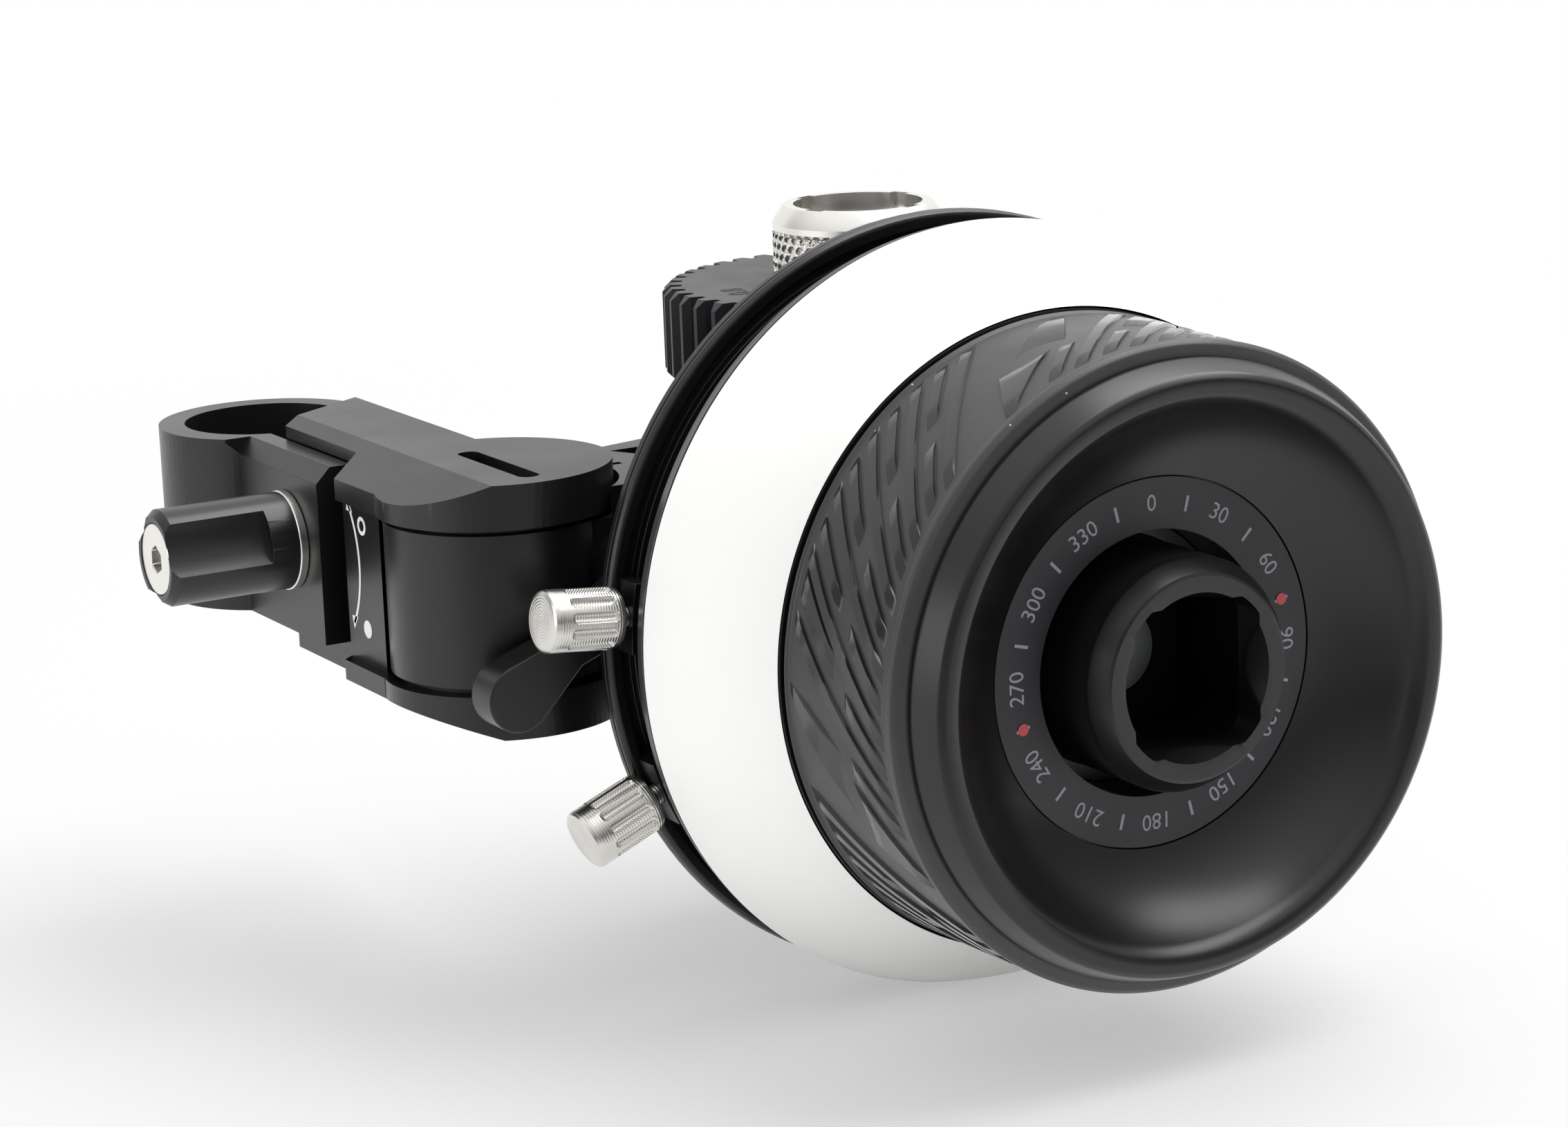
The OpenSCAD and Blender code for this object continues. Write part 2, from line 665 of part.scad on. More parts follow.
module shaft_spacer() {
    color("#8e9094") at_wheel() {
        ring(shaft_r + run, race_in, boss_back, bearing_d[0]);
        ring(shaft_r + run, race_in, bearing_d[0] + bearing_w, bearing_d[1]);
    }
}

module shaft_circlip() {
    color("#5a5c60") at_wheel() difference() {
        ring(shaft_r - 0.6, race_in, bearing_end + 0.05, bearing_end + 0.05 + clip_w);
        translate([0, -1.6, bearing_end - 0.5]) cube([8, 3.2, 2]);
    }
}

// Straight-toothed bevel gear; apex of its cone at the origin, body along +Z
module bevel_gear(bore, hub_len) {
    cone = bevel_r * sqrt(2);
    small = cone - bevel_face;
    root_a = 39.6;
    tip_a = 48.6;
    root_w = 5.6;
    tip_w = 1.9;
    rays = [[root_a - 0.6, -root_w], [root_a - 0.6, root_w], [tip_a, tip_w], [tip_a, -tip_w]];
    difference() {
        union() {
            rotate_extrude($fn = 60) polygon([[0, small * cos(root_a)],
                [small * sin(root_a), small * cos(root_a)], [cone * sin(root_a), cone * cos(root_a)],
                [cone * sin(root_a) - 0.2, bevel_r + 1], [4.2, bevel_r + 1],
                [4.2, bevel_r + hub_len], [0, bevel_r + hub_len]]);
            for (i = [0:bevel_teeth - 1]) rotate([0, 0, 360 * i / bevel_teeth])
                polyhedron(points = [for (s = [small, cone], a = rays)
                    [s * sin(a[0]) * cos(a[1]), s * sin(a[0]) * sin(a[1]), s * cos(a[0])]],
                    faces = [[3, 2, 1, 0], [4, 5, 6, 7], [1, 5, 4, 0], [2, 6, 5, 1], [3, 7, 6, 2], [0, 4, 7, 3]]);
        }
        cylinder(r = bore, h = 30);
        cross_pin(bevel_pin_at, 5);
    }
}

// Bevel gear pair: one on the wheel shaft, one below it on the upright shaft
module wheel_bevel() {
    color("#a3a6aa") at_train(0, idler_d, 0) rotate([90, 0, 0]) bevel_gear(stub_r, bevel_hub);
}

module idler_bevel() {
    color("#a3a6aa") at_train(0, idler_d, 0) rotate([180, 0, 0]) rotate([0, 0, 180 / bevel_teeth])
        bevel_gear(idler_r, -cavity_low - bevel_r - 0.1);
}

module bevel_pin() {
    color("#5a5c60") at_train(0, idler_d, 0) rotate([90, 0, 0]) cross_pin(bevel_pin_at, 4.1);
}

module gear_outline(m, teeth, slack) {
    pitch = m * teeth / 2;
    root = pitch - 1.25 * m;
    tip = pitch + 0.95 * m;
    wide = PI * m / 4 - slack;
    circle(r = root, $fn = teeth);
    for (i = [0:teeth - 1]) rotate(360 * i / teeth)
        polygon([[root - 0.3 * m, -wide - 0.28 * m], [root, -wide - 0.28 * m], [pitch, -wide],
            [tip, -wide + 0.42 * m], [tip, wide - 0.42 * m], [pitch, wide],
            [root, wide + 0.28 * m], [root - 0.3 * m, wide + 0.28 * m]]);
}

module spur_gear(bore, hub_len) {
    difference() {
        union() {
            linear_extrude(height = spur_w) gear_outline(spur_module, spur_teeth, 0.06);
            translate([0, 0, -hub_len]) cylinder(r = bore + 1.6, h = hub_len + 1);
        }
        translate([0, 0, -5]) cylinder(r = bore, h = 20);
        cross_pin(-hub_len / 2, 6);
    }
}

mesh_angle = atan2(output_d - idler_d, gear_dx);

module idler_gear() {
    color("#b8a46a") at_train(0, idler_d, spur_z) rotate([0, 0, mesh_angle]) spur_gear(idler_r, 1.8);
}

module output_gear() {
    color("#b8a46a") at_train(gear_dx, output_d, spur_z)
        rotate([0, 0, mesh_angle + 180 + 180 / spur_teeth]) spur_gear(output_r, 1.8);
}

module idler_pins() {
    color("#5a5c60") at_train(0, idler_d, 0) {
        rotate([180, 0, 0]) rotate([0, 0, 180 / bevel_teeth]) cross_pin(bevel_pin_at, 4.1);
        translate([0, 0, spur_z]) rotate([0, 0, mesh_angle]) cross_pin(-0.9, idler_r + 1.5);
    }
}

module idler_shaft() {
    color("#b9bcc0") at_train(0, idler_d, 0) difference() {
        translate([0, 0, cavity_low - 3]) cylinder(r = idler_r, h = cavity_top - cavity_low + 4.8);
        rotate([180, 0, 0]) rotate([0, 0, 180 / bevel_teeth]) cross_pin(bevel_pin_at, 5);
        translate([0, 0, spur_z]) rotate([0, 0, mesh_angle]) cross_pin(-0.9, 5);
    }
}

// Output shaft: plain journal, seat flange and threaded spigot for the lens gear
spigot_r = 5.75;
seat_z = gear_z + wheel_drop;
spigot_top = seat_z + gear_w + nut_h - 1.9;
module output_shaft() {
    color("#a9abad") at_train(gear_dx, output_d, 0) difference() {
        union() {
            translate([0, 0, cavity_low - 3]) cylinder(r = output_r, h = seat_z - cavity_low + 3);
            translate([0, 0, cavity_top + roof_t + 1.5])
                cylinder(r = 7.4, h = seat_z - cavity_top - roof_t - 1.5);
            translate([0, 0, seat_z - 0.5]) cylinder(r = spigot_r, h = spigot_top - seat_z + 0.5);
        }
        translate([0, 0, spigot_top - 3]) cylinder(r = 3.4, h = 4);
        translate([0, 0, spigot_top - 1.4]) translate([-7, -0.9, 0]) cube([14, 1.8, 2]);
        translate([0, 0, spur_z]) rotate([0, 0, mesh_angle + 180 + 180 / spur_teeth]) cross_pin(-0.9, 6);
        key_shape(spigot_r - 1.1, spigot_r + 1);
    }
}

module key_shape(r0, r1) {
    translate([r0, -0.8, seat_z]) cube([r1 - r0, 1.6, gear_w - 0.4]);
}

module gear_key() {
    color("#5a5c60") at_train(gear_dx, output_d, 0) key_shape(spigot_r - 1, spigot_r + 0.9);
}

module output_pin() {
    color("#5a5c60") at_train(gear_dx, output_d, spur_z)
        rotate([0, 0, mesh_angle + 180 + 180 / spur_teeth]) cross_pin(-0.9, output_r + 1.5);
}

// Pitch gear that meets the toothed ring of a lens
module lens_gear() {
    tip = gear_tip;
    cut = 0.7;
    color("#2b2b2d") at_train(gear_dx, output_d, 0) difference() {
        intersection() {
            translate([0, 0, seat_z]) linear_extrude(height = gear_w)
                gear_outline(gear_module, gear_teeth, 0.05);
            rotate_extrude($fn = 96) polygon([[0, seat_z], [tip - cut, seat_z], [tip + 0.1, seat_z + cut + 0.1],
                [tip + 0.1, seat_z + gear_w - cut - 0.1], [tip - cut, seat_z + gear_w], [0, seat_z + gear_w]]);
        }
        translate([0, 0, seat_z - 1]) cylinder(r = spigot_r, h = gear_w + 2);
        key_shape(spigot_r - 1, spigot_r + 1);
    }
}

module lock_nut() {
    bore = spigot_r + run;
    color("#c9c9c6") at_train(gear_dx, output_d, seat_z + gear_w + run) difference() {
        turned([[bore, 0], [nut_r - 0.2, 0], [nut_r, 0.2], [nut_r, nut_h - 1.5],
            [nut_r - 1.2, nut_h], [bore, nut_h]]);
        for (i = [0:3]) rotate([0, 0, 90 * i + 20])
            translate([bore - 1, -0.9, nut_h - 1.4]) cube([1.6, 1.8, 2]);
    }
}

// Sliding block of a hard stop; its tongue rides in the plate's face groove
module stop_block(angle) {
    color("#2a2a2c") round_wheel(angle) difference() {
        intersection() {
            union() {
                ring(stop_foot, stop_head, stop_front, stop_back);
                ring(tongue_in, tongue_out, stop_back - 1, stop_back + 0.9);
            }
            translate([stop_foot - 3, -stop_w / 2, stop_front - 1]) cube([8, stop_w, 6]);
        }
        translate([stop_foot - 2, 0, stop_d]) rotate([0, 90, 0])
            cylinder(r = stop_stud_r + run, h = 8);
    }
}

// Radial thumbscrew of a hard stop
module stop_screw(angle) {
    color("#d4d4d2") round_wheel(angle) translate([0, 0, stop_d]) rotate([0, 90, 0]) difference() {
        union() {
            translate([0, 0, wall_r + run]) cylinder(r = stop_stud_r, h = thumb_base - wall_r + 1);
            turned([[0, thumb_base], [thumb_r - 0.5, thumb_base], [thumb_r, thumb_base + 0.5],
                [thumb_r, thumb_base + thumb_len - 0.5], [thumb_r - 0.5, thumb_base + thumb_len],
                [0, thumb_base + thumb_len]]);
        }
        for (i = [0:11]) rotate([0, 0, 30 * i + 15]) {
            translate([thumb_r + 0.1, 0, thumb_base + 1.3]) cylinder(r = 0.45, h = thumb_len - 3.4, $fn = 24);
            for (e = [1.3, thumb_len - 2.1])
                translate([thumb_r + 0.1, 0, thumb_base + e]) sphere(r = 0.45, $fn = 24);
        }
    }
}

module stop_a_block() {
    stop_block(stop_a_angle);
}

module stop_a_screw() {
    stop_screw(stop_a_angle);
}

module stop_b_block() {
    stop_block(stop_b_angle);
}

module stop_b_screw() {
    stop_screw(stop_b_angle);
}

rod_bracket();
clamp_insert();
pivot_bolt();
friction_washers();
clamp_knob();
clamp_bolt();
clamp_washer();
gear_housing();
housing_cover();
cover_screws();
back_plate();
plate_screws();
bearing_outers();
idler_bushes();
output_bushes();
lever_insert();
lock_lever();
lever_stud();
hand_wheel();
grip_ring();
marking_disc();
disc_carrier();
carrier_screws();
label_ring();
wheel_shaft();
hub_screw();
bearing_inners();
shaft_spacer();
shaft_circlip();
wheel_bevel();
bevel_pin();
stop_dog();
idler_shaft();
idler_bevel();
idler_gear();
idler_pins();
output_shaft();
output_gear();
output_pin();
lens_gear();
gear_key();
lock_nut();
stop_a_block();
stop_a_screw();
stop_b_block();
stop_b_screw();
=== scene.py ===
"""Follow focus unit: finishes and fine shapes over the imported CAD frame."""
import json
import math

import bmesh
import bpy
from bpy.props import FloatProperty, FloatVectorProperty, IntProperty, PointerProperty
from mathutils import Matrix, Vector


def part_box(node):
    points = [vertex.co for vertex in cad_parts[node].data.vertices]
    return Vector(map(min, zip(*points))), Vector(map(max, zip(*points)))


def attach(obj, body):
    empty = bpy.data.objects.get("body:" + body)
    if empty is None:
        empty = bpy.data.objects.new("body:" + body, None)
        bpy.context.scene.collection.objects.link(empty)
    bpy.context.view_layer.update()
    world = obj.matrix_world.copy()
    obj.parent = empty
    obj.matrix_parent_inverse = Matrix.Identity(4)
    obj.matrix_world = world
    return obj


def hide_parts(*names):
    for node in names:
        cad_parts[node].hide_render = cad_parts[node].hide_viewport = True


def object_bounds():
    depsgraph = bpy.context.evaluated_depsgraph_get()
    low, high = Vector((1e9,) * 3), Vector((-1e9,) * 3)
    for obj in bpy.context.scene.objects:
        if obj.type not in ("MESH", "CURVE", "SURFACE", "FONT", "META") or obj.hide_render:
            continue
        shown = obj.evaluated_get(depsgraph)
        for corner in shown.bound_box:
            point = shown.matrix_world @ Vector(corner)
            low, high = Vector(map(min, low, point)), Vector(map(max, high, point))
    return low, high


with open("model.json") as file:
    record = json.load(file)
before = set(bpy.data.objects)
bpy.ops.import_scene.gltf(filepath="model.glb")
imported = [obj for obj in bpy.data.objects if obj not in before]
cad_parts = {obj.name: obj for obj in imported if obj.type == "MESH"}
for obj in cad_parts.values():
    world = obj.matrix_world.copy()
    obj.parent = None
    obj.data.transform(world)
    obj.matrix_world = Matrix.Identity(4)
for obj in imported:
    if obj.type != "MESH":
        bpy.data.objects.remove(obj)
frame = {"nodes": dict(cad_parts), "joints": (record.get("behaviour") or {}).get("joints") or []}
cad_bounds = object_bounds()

bl_info = {
    "name": "Follow Focus Unit",
    "version": (1, 0, 0),
    "blender": (4, 5, 0),
    "location": "View3D > Sidebar > Follow Focus",
    "description": "Builds the looks of a camera follow focus unit over its CAD frame",
    "category": "Object",
}

MM = 0.001


# ---------------------------------------------------------------- places from the frame

def middle(node):
    low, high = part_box(node)
    return [(a + b) / 2 for a, b in zip(low, high)]


DISC_LOW, DISC_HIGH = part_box("marking_disc")
WHEEL_LOW, WHEEL_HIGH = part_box("hand_wheel")
AXIS_X = middle("marking_disc")[0]
AXIS_Z = middle("marking_disc")[2]
FRONT_Y = WHEEL_LOW[1]
DISC_R = (DISC_HIGH[0] - DISC_LOW[0]) / 2 / MM
FLANGE_R = (WHEEL_HIGH[0] - WHEEL_LOW[0]) / 2 / MM
GRIP_LOW, GRIP_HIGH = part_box("grip_ring")
GRIP_R = (GRIP_HIGH[0] - GRIP_LOW[0]) / 2 / MM
GEAR_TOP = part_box("lens_gear")[1][2]
GEAR_X, GEAR_Y, _ = middle("lock_nut")
NUT_LOW, NUT_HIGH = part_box("lock_nut")
NUT_R = (NUT_HIGH[0] - NUT_LOW[0]) / 2 / MM
FLOOR_Z = cad_bounds[0][2]
CENTRE = Vector([(a + b) / 2 for a, b in zip(*cad_bounds)])

# wheel pieces are turned in millimetres about this frame's +Z, which runs back from the wheel's front
WHEEL_FRAME = (Matrix.Translation((AXIS_X, FRONT_Y, AXIS_Z))
               @ Matrix.Rotation(math.radians(-90), 4, "X"))
# the left face of the bracket's body, in millimetres
BRACKET_SIDE = -4.8
CORE_R = 22.5
GRIP_DEPTHS = (3.3, 20.0)
LABEL_RADII = (11.0, 15.45)
LABEL_FRONT = 6.64
DISC_INNER_R = 27.35
DISC_DEPTHS = (20.1, 31.8)

# where the photograph was taken from, in metres, and its lens on a 36 mm sensor
CAMERA_PLACE = (-0.1474, -0.3543, 0.0812)
CAMERA_RIGHT = Vector((0.8633, -0.5033, -0.036))
CAMERA_UP = Vector((0.1448, 0.1792, 0.973))
CAMERA_AHEAD = Vector((0.4832, 0.8454, -0.2273))
CAMERA_LENS_MM = 95.317
SENSOR_MM = 36


# ---------------------------------------------------------------- small helpers

def linear(hex_colour):
    """An sRGB hex colour as the linear RGBA that the nodes take."""
    parts = [int(hex_colour[i:i + 2], 16) / 255 for i in (1, 3, 5)]
    return tuple(c / 12.92 if c <= 0.04045 else ((c + 0.055) / 1.055) ** 2.4 for c in parts) + (1.0,)


def add(tree, kind, links=None, **settings):
    """Adds a node, sets its properties and input values, and links its inputs."""
    made = tree.nodes.new(kind)
    for name, value in settings.items():
        setattr(made, name, value)
    for socket, source in (links or {}).items():
        if isinstance(source, bpy.types.NodeSocket):
            tree.links.new(source, made.inputs[socket])
        else:
            made.inputs[socket].default_value = source
    return made


def material(name, colour, roughness, metallic=0.0, **shader):
    """A plain principled material; grain() and its maker add the pattern."""
    made = bpy.data.materials.new(name)
    made.use_nodes = True
    tree = made.node_tree
    bsdf = tree.nodes["Principled BSDF"]
    bsdf.inputs["Base Color"].default_value = linear(colour)
    bsdf.inputs["Roughness"].default_value = roughness
    bsdf.inputs["Metallic"].default_value = metallic
    for socket, value in shader.items():
        bsdf.inputs[socket.replace("_", " ")].default_value = value
    made.diffuse_color = linear(colour)
    return made


def grain(made, size_mm, depth_mm, rough_low, rough_high, patch_mm):
    """Bump of a grain size in millimetres, and a slow change of roughness over patches."""
    tree = made.node_tree
    bsdf = tree.nodes["Principled BSDF"]
    where = add(tree, "ShaderNodeTexCoord").outputs["Object"]
    fine = add(tree, "ShaderNodeTexNoise", {"Vector": where, "Scale": 1 / (size_mm * MM), "Detail": 2.0})
    bump = add(tree, "ShaderNodeBump", {"Height": fine.outputs["Fac"], "Strength": 1.0,
               "Distance": depth_mm * MM})
    tree.links.new(bump.outputs["Normal"], bsdf.inputs["Normal"])
    slow = add(tree, "ShaderNodeTexNoise", {"Vector": where, "Scale": 1 / (patch_mm * MM), "Detail": 3.0})
    spread = add(tree, "ShaderNodeMapRange", {"Value": slow.outputs["Fac"], "From Min": 0.3,
                 "From Max": 0.7, "To Min": rough_low, "To Max": rough_high})
    tree.links.new(spread.outputs["Result"], bsdf.inputs["Roughness"])


RUBBER_BLACK = "#313132"
DUST_GREY = "#aab0b2"
INK = (0.3, 0.001, 0.55, 0.65, 4)

# short name, full name, colour, roughness, other shader values,
# then the grain: its size and depth, the lowest and highest roughness, and the patch size (sizes in mm)
FINISHES = (
    # bead-blasted and black anodised aluminium: satin, with a faint fine grain
    ("anodised", "anodised_aluminium_blasted", "#0d0d0f", 0.38, {}, (0.35, 0.004, 0.31, 0.41, 18)),
    # the same alloy turned smooth before anodising: tighter highlights on the knob
    ("turned", "anodised_aluminium_turned", "#161618", 0.3, {}, (0.5, 0.0015, 0.26, 0.36, 9)),
    # the dish and rim, turned and then anodised: a broad soft highlight runs round the bowl
    ("dish", "anodised_aluminium_dish", "#0e0e10", 0.31, {}, (0.3, 0.003, 0.28, 0.35, 22)),
    # the bevel round the carrier's edge: a thin line of lighter, partly metallic grey
    ("cut", "anodised_aluminium_grey_edge", "#4c4c4f", 0.3, {"metallic": 0.35},
     (0.3, 0.002, 0.26, 0.34, 6)),
    # the bore of the crank socket: the same anodising, unpolished, with painted shade: its near-black
    # colour and weak reflection stand in for the deep shade in it
    ("bore", "anodised_aluminium_bore_painted_shade", "#030303", 0.55, {"Specular_IOR_Level": 0.15},
     (0.3, 0.003, 0.5, 0.6, 10)),
    # moulded rubber with a matte ground; specks of dust are added below
    ("rubber", "moulded_rubber_ground", RUBBER_BLACK, 0.42, {}, (0.25, 0.006, 0.34, 0.46, 6)),
    # the polished tops of the rubber's raised bars: they mirror the tent in short streaks
    ("rubber_gloss", "moulded_rubber_polished", "#232324", 0.14, {}, (0.6, 0.003, 0.1, 0.2, 5)),
    # fine matte white polycarbonate that takes pencil
    ("white", "polycarbonate_matte_white", "#f1f1ef", 0.5, {}, (0.3, 0.003, 0.46, 0.54, 25)),
    # dark satin polyester label
    ("label", "polyester_label_satin", "#232226", 0.5, {}, (0.25, 0.002, 0.46, 0.55, 8)),
    # flat screen-printed inks on the label and the bracket, and the gear's figure
    ("ink_grey", "screen_ink_grey", "#85888f", 0.6, {}, INK),
    ("ink_red", "screen_ink_red", "#b0444c", 0.6, {}, INK),
    ("ink_white", "screen_ink_white", "#dfe0e0", 0.6, {}, INK),
    ("ink_dark", "pressed_figure_dark", "#0c0c0d", 0.7, {}, INK),
    # turned stainless steel of the nut, the clamp bolt and its washer
    ("stainless", "stainless_steel_turned", "#e4e2dd", 0.24, {"metallic": 1.0},
     (0.22, 0.002, 0.2, 0.3, 3)),
    # ground steel shafts, races and bevel gears inside the case
    ("steel", "ground_steel", "#9a9c9f", 0.32, {"metallic": 1.0}, (0.3, 0.002, 0.28, 0.38, 5)),
    # black oxide on steel: dark and slightly oily
    ("oxide", "black_oxide_steel", "#1b1b1c", 0.35, {"metallic": 0.4}, (0.2, 0.002, 0.3, 0.4, 3)),
    # machined brass inserts and spur gears
    ("brass", "machined_brass", "#c9a863", 0.3, {"metallic": 1.0}, (0.3, 0.002, 0.26, 0.36, 4)),
    # sintered bronze bushes: matt, porous
    ("bronze", "sintered_bronze", "#a07b49", 0.5, {"metallic": 1.0}, (0.15, 0.006, 0.45, 0.58, 3)),
    # moulded acetal gear: dull black
    ("acetal", "moulded_acetal", "#202124", 0.45, {}, (0.3, 0.004, 0.4, 0.5, 6)),
)
MATERIALS = {}


def make_materials(tones):
    for key, name, colour, roughness, shader, pattern in FINISHES:
        MATERIALS[key] = material(name, colour, roughness, **shader)
        grain(MATERIALS[key], *pattern)
    blasted = MATERIALS["anodised"].node_tree.nodes["Principled BSDF"]
    blasted.inputs["Base Color"].default_value = (*tones.anodised, 1)

    # a few specks of dust, 0.1 mm across and 2.6 mm apart, cling to the rubber
    tree = MATERIALS["rubber"].node_tree
    where = add(tree, "ShaderNodeTexCoord").outputs["Object"]
    cells = add(tree, "ShaderNodeTexVoronoi", {"Vector": where, "Scale": 1 / (2.6 * MM)}, feature="F1")
    speck = add(tree, "ShaderNodeMapRange", {"Value": cells.outputs["Distance"], "From Min": 0.028,
                "From Max": 0.04, "To Min": 1.0, "To Max": 0.0})
    colour = add(tree, "ShaderNodeMix", {"Factor": speck.outputs["Result"], "A": linear(RUBBER_BLACK),
                 "B": linear(DUST_GREY)}, data_type="RGBA")
    tree.links.new(colour.outputs["Result"], tree.nodes["Principled BSDF"].inputs["Base Color"])

    # stainless steel faced on the lathe: rings spread each highlight into a fan,
    # a quarter of a millimetre apart, coarser than real so that they show
    faced = material("stainless_steel_faced", "#d6d4cf", 0.26, metallic=1.0)
    pitch_mm, ridge_mm = 0.25, 0.006
    tree = faced.node_tree
    along = add(tree, "ShaderNodeAttribute", attribute_name="turned_mm")
    phase = add(tree, "ShaderNodeMath", {0: along.outputs["Fac"], 1: 2 * math.pi / pitch_mm},
                operation="MULTIPLY")
    ridge = add(tree, "ShaderNodeMath", {0: phase.outputs[0]}, operation="SINE")
    rings = add(tree, "ShaderNodeBump", {"Height": ridge.outputs[0], "Strength": 1.0,
                "Distance": ridge_mm * MM})
    tree.links.new(rings.outputs["Normal"], tree.nodes["Principled BSDF"].inputs["Normal"])
    MATERIALS["faced"] = faced


def new_object(name, mesh, finish=None):
    made = bpy.data.objects.new(name, mesh)
    bpy.context.scene.collection.objects.link(made)
    if finish:
        mesh.materials.append(MATERIALS[finish])
    return made


def smooth(mesh, degrees=32):
    for face in mesh.polygons:
        face.use_smooth = True
    mesh.set_sharp_from_angle(angle=math.radians(degrees))


def settle(piece, body, slot, *nodes):
    """Rides a finished piece on its body and stands it for its CAD nodes, which it hides; slot is not used.
    """
    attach(piece, body)
    if nodes:
        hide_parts(*nodes)
    return piece


def softened(points, radius):
    """A closed profile with its corners rounded."""
    out = []
    count, steps = len(points), 4
    for i, (x, y) in enumerate(points):
        here = Vector((x, y))
        before = Vector(points[i - 1]) - here
        after = Vector(points[(i + 1) % count]) - here
        reach = min(radius, before.length * 0.45, after.length * 0.45)
        if x < 1e-6 or reach < 1e-4 or abs(before.angle(after, 0) - math.pi) < 0.15:
            out.append((x, y))
            continue
        first, last = here + before.normalized() * reach, here + after.normalized() * reach
        for step in range(steps + 1):
            t = step / steps
            spot = first * (1 - t) ** 2 + here * 2 * t * (1 - t) + last * t * t
            out.append((spot.x, spot.y))
    return out


def lathe(name, profile, place, finish, turns):
    """Turns a profile of (radius, height) in millimetres about a local +Z axis.

    A radius may be a function of the angle, for a shaped hole."""
    body = bmesh.new()
    rows = []
    for radius, height in profile:
        if not callable(radius) and radius < 1e-6:
            rows.append([body.verts.new((0, 0, height * MM))])
            continue
        row = []
        for i in range(turns):
            angle = 2 * math.pi * i / turns
            r = (radius(angle) if callable(radius) else radius) * MM
            row.append(body.verts.new((r * math.cos(angle), r * math.sin(angle), height * MM)))
        rows.append(row)
    for low, high in zip(rows, rows[1:] + rows[:1]):
        if len(low) == 1 and len(high) == 1:
            continue
        for i in range(turns):
            j = (i + 1) % turns
            if len(low) == 1:
                body.faces.new((low[0], high[i], high[j]))
            elif len(high) == 1:
                body.faces.new((low[i], low[j], high[0]))
            else:
                body.faces.new((low[i], low[j], high[j], high[i]))
    bmesh.ops.remove_doubles(body, verts=body.verts, dist=1e-7)
    bmesh.ops.recalc_face_normals(body, faces=body.faces)
    body.transform(place)
    mesh = bpy.data.meshes.new(name)
    body.to_mesh(mesh)
    body.free()
    smooth(mesh, 24)
    return levelled(new_object(name, mesh, finish))


def levelled(piece):
    """Bakes an object's modifiers after one that keeps its flat faces flat to the eye."""
    level = piece.modifiers.new("level", "WEIGHTED_NORMAL")
    level.keep_sharp = True
    bake_modifiers(piece)
    return piece


def second_finish(piece, finish, radii, depths):
    """Gives a band of a turned wheel piece another finish."""
    piece.data.materials.append(MATERIALS[finish])
    inverse = WHEEL_FRAME.inverted()
    for face in piece.data.polygons:
        spot = inverse @ face.center / MM
        if depths[0] < spot.z < depths[1] and radii[0] < math.hypot(spot.x, spot.y) < radii[1]:
            face.material_index = 1


def machined(node, finish, edge_mm):
    """A copy of a CAD node with its triangles merged and its edges broken."""
    mesh = frame["nodes"][node].data.copy()
    body = bmesh.new()
    body.from_mesh(mesh)
    bmesh.ops.remove_doubles(body, verts=body.verts, dist=2e-6)
    bmesh.ops.dissolve_limit(body, angle_limit=math.radians(0.4), verts=body.verts, edges=body.edges)
    bmesh.ops.recalc_face_normals(body, faces=body.faces)
    body.to_mesh(mesh)
    body.free()
    mesh.materials.clear()
    smooth(mesh, 30)
    piece = new_object(node + "_dressed", mesh, finish)
    bevel = piece.modifiers.new("edge", "BEVEL")
    bevel.width = edge_mm * MM
    bevel.segments = 2
    bevel.limit_method = "ANGLE"
    bevel.angle_limit = math.radians(35)
    bevel.use_clamp_overlap = True
    return levelled(piece)


def bake_modifiers(piece):
    """Turns an object's evaluated shape into its own plain mesh."""
    bpy.context.view_layer.update()
    seen = piece.evaluated_get(bpy.context.evaluated_depsgraph_get())
    mesh = bpy.data.meshes.new_from_object(seen)
    old = piece.data
    piece.modifiers.clear()
    piece.data = mesh
    if old.users == 0 and isinstance(old, bpy.types.Mesh):
        bpy.data.meshes.remove(old)


def join(name, pieces):
    """One mesh object from several that sit at the origin."""
    body = bmesh.new()
    mesh = bpy.data.meshes.new(name)
    for piece in pieces:
        start = len(mesh.materials)
        for made in piece.data.materials:
            mesh.materials.append(made)
        before = len(body.faces)
        body.from_mesh(piece.data)
        body.faces.ensure_lookup_table()
        for face in body.faces[before:]:
            face.material_index += start
    body.to_mesh(mesh)
    body.free()
    for piece in pieces:
        bpy.data.objects.remove(piece)
    return new_object(name, mesh)


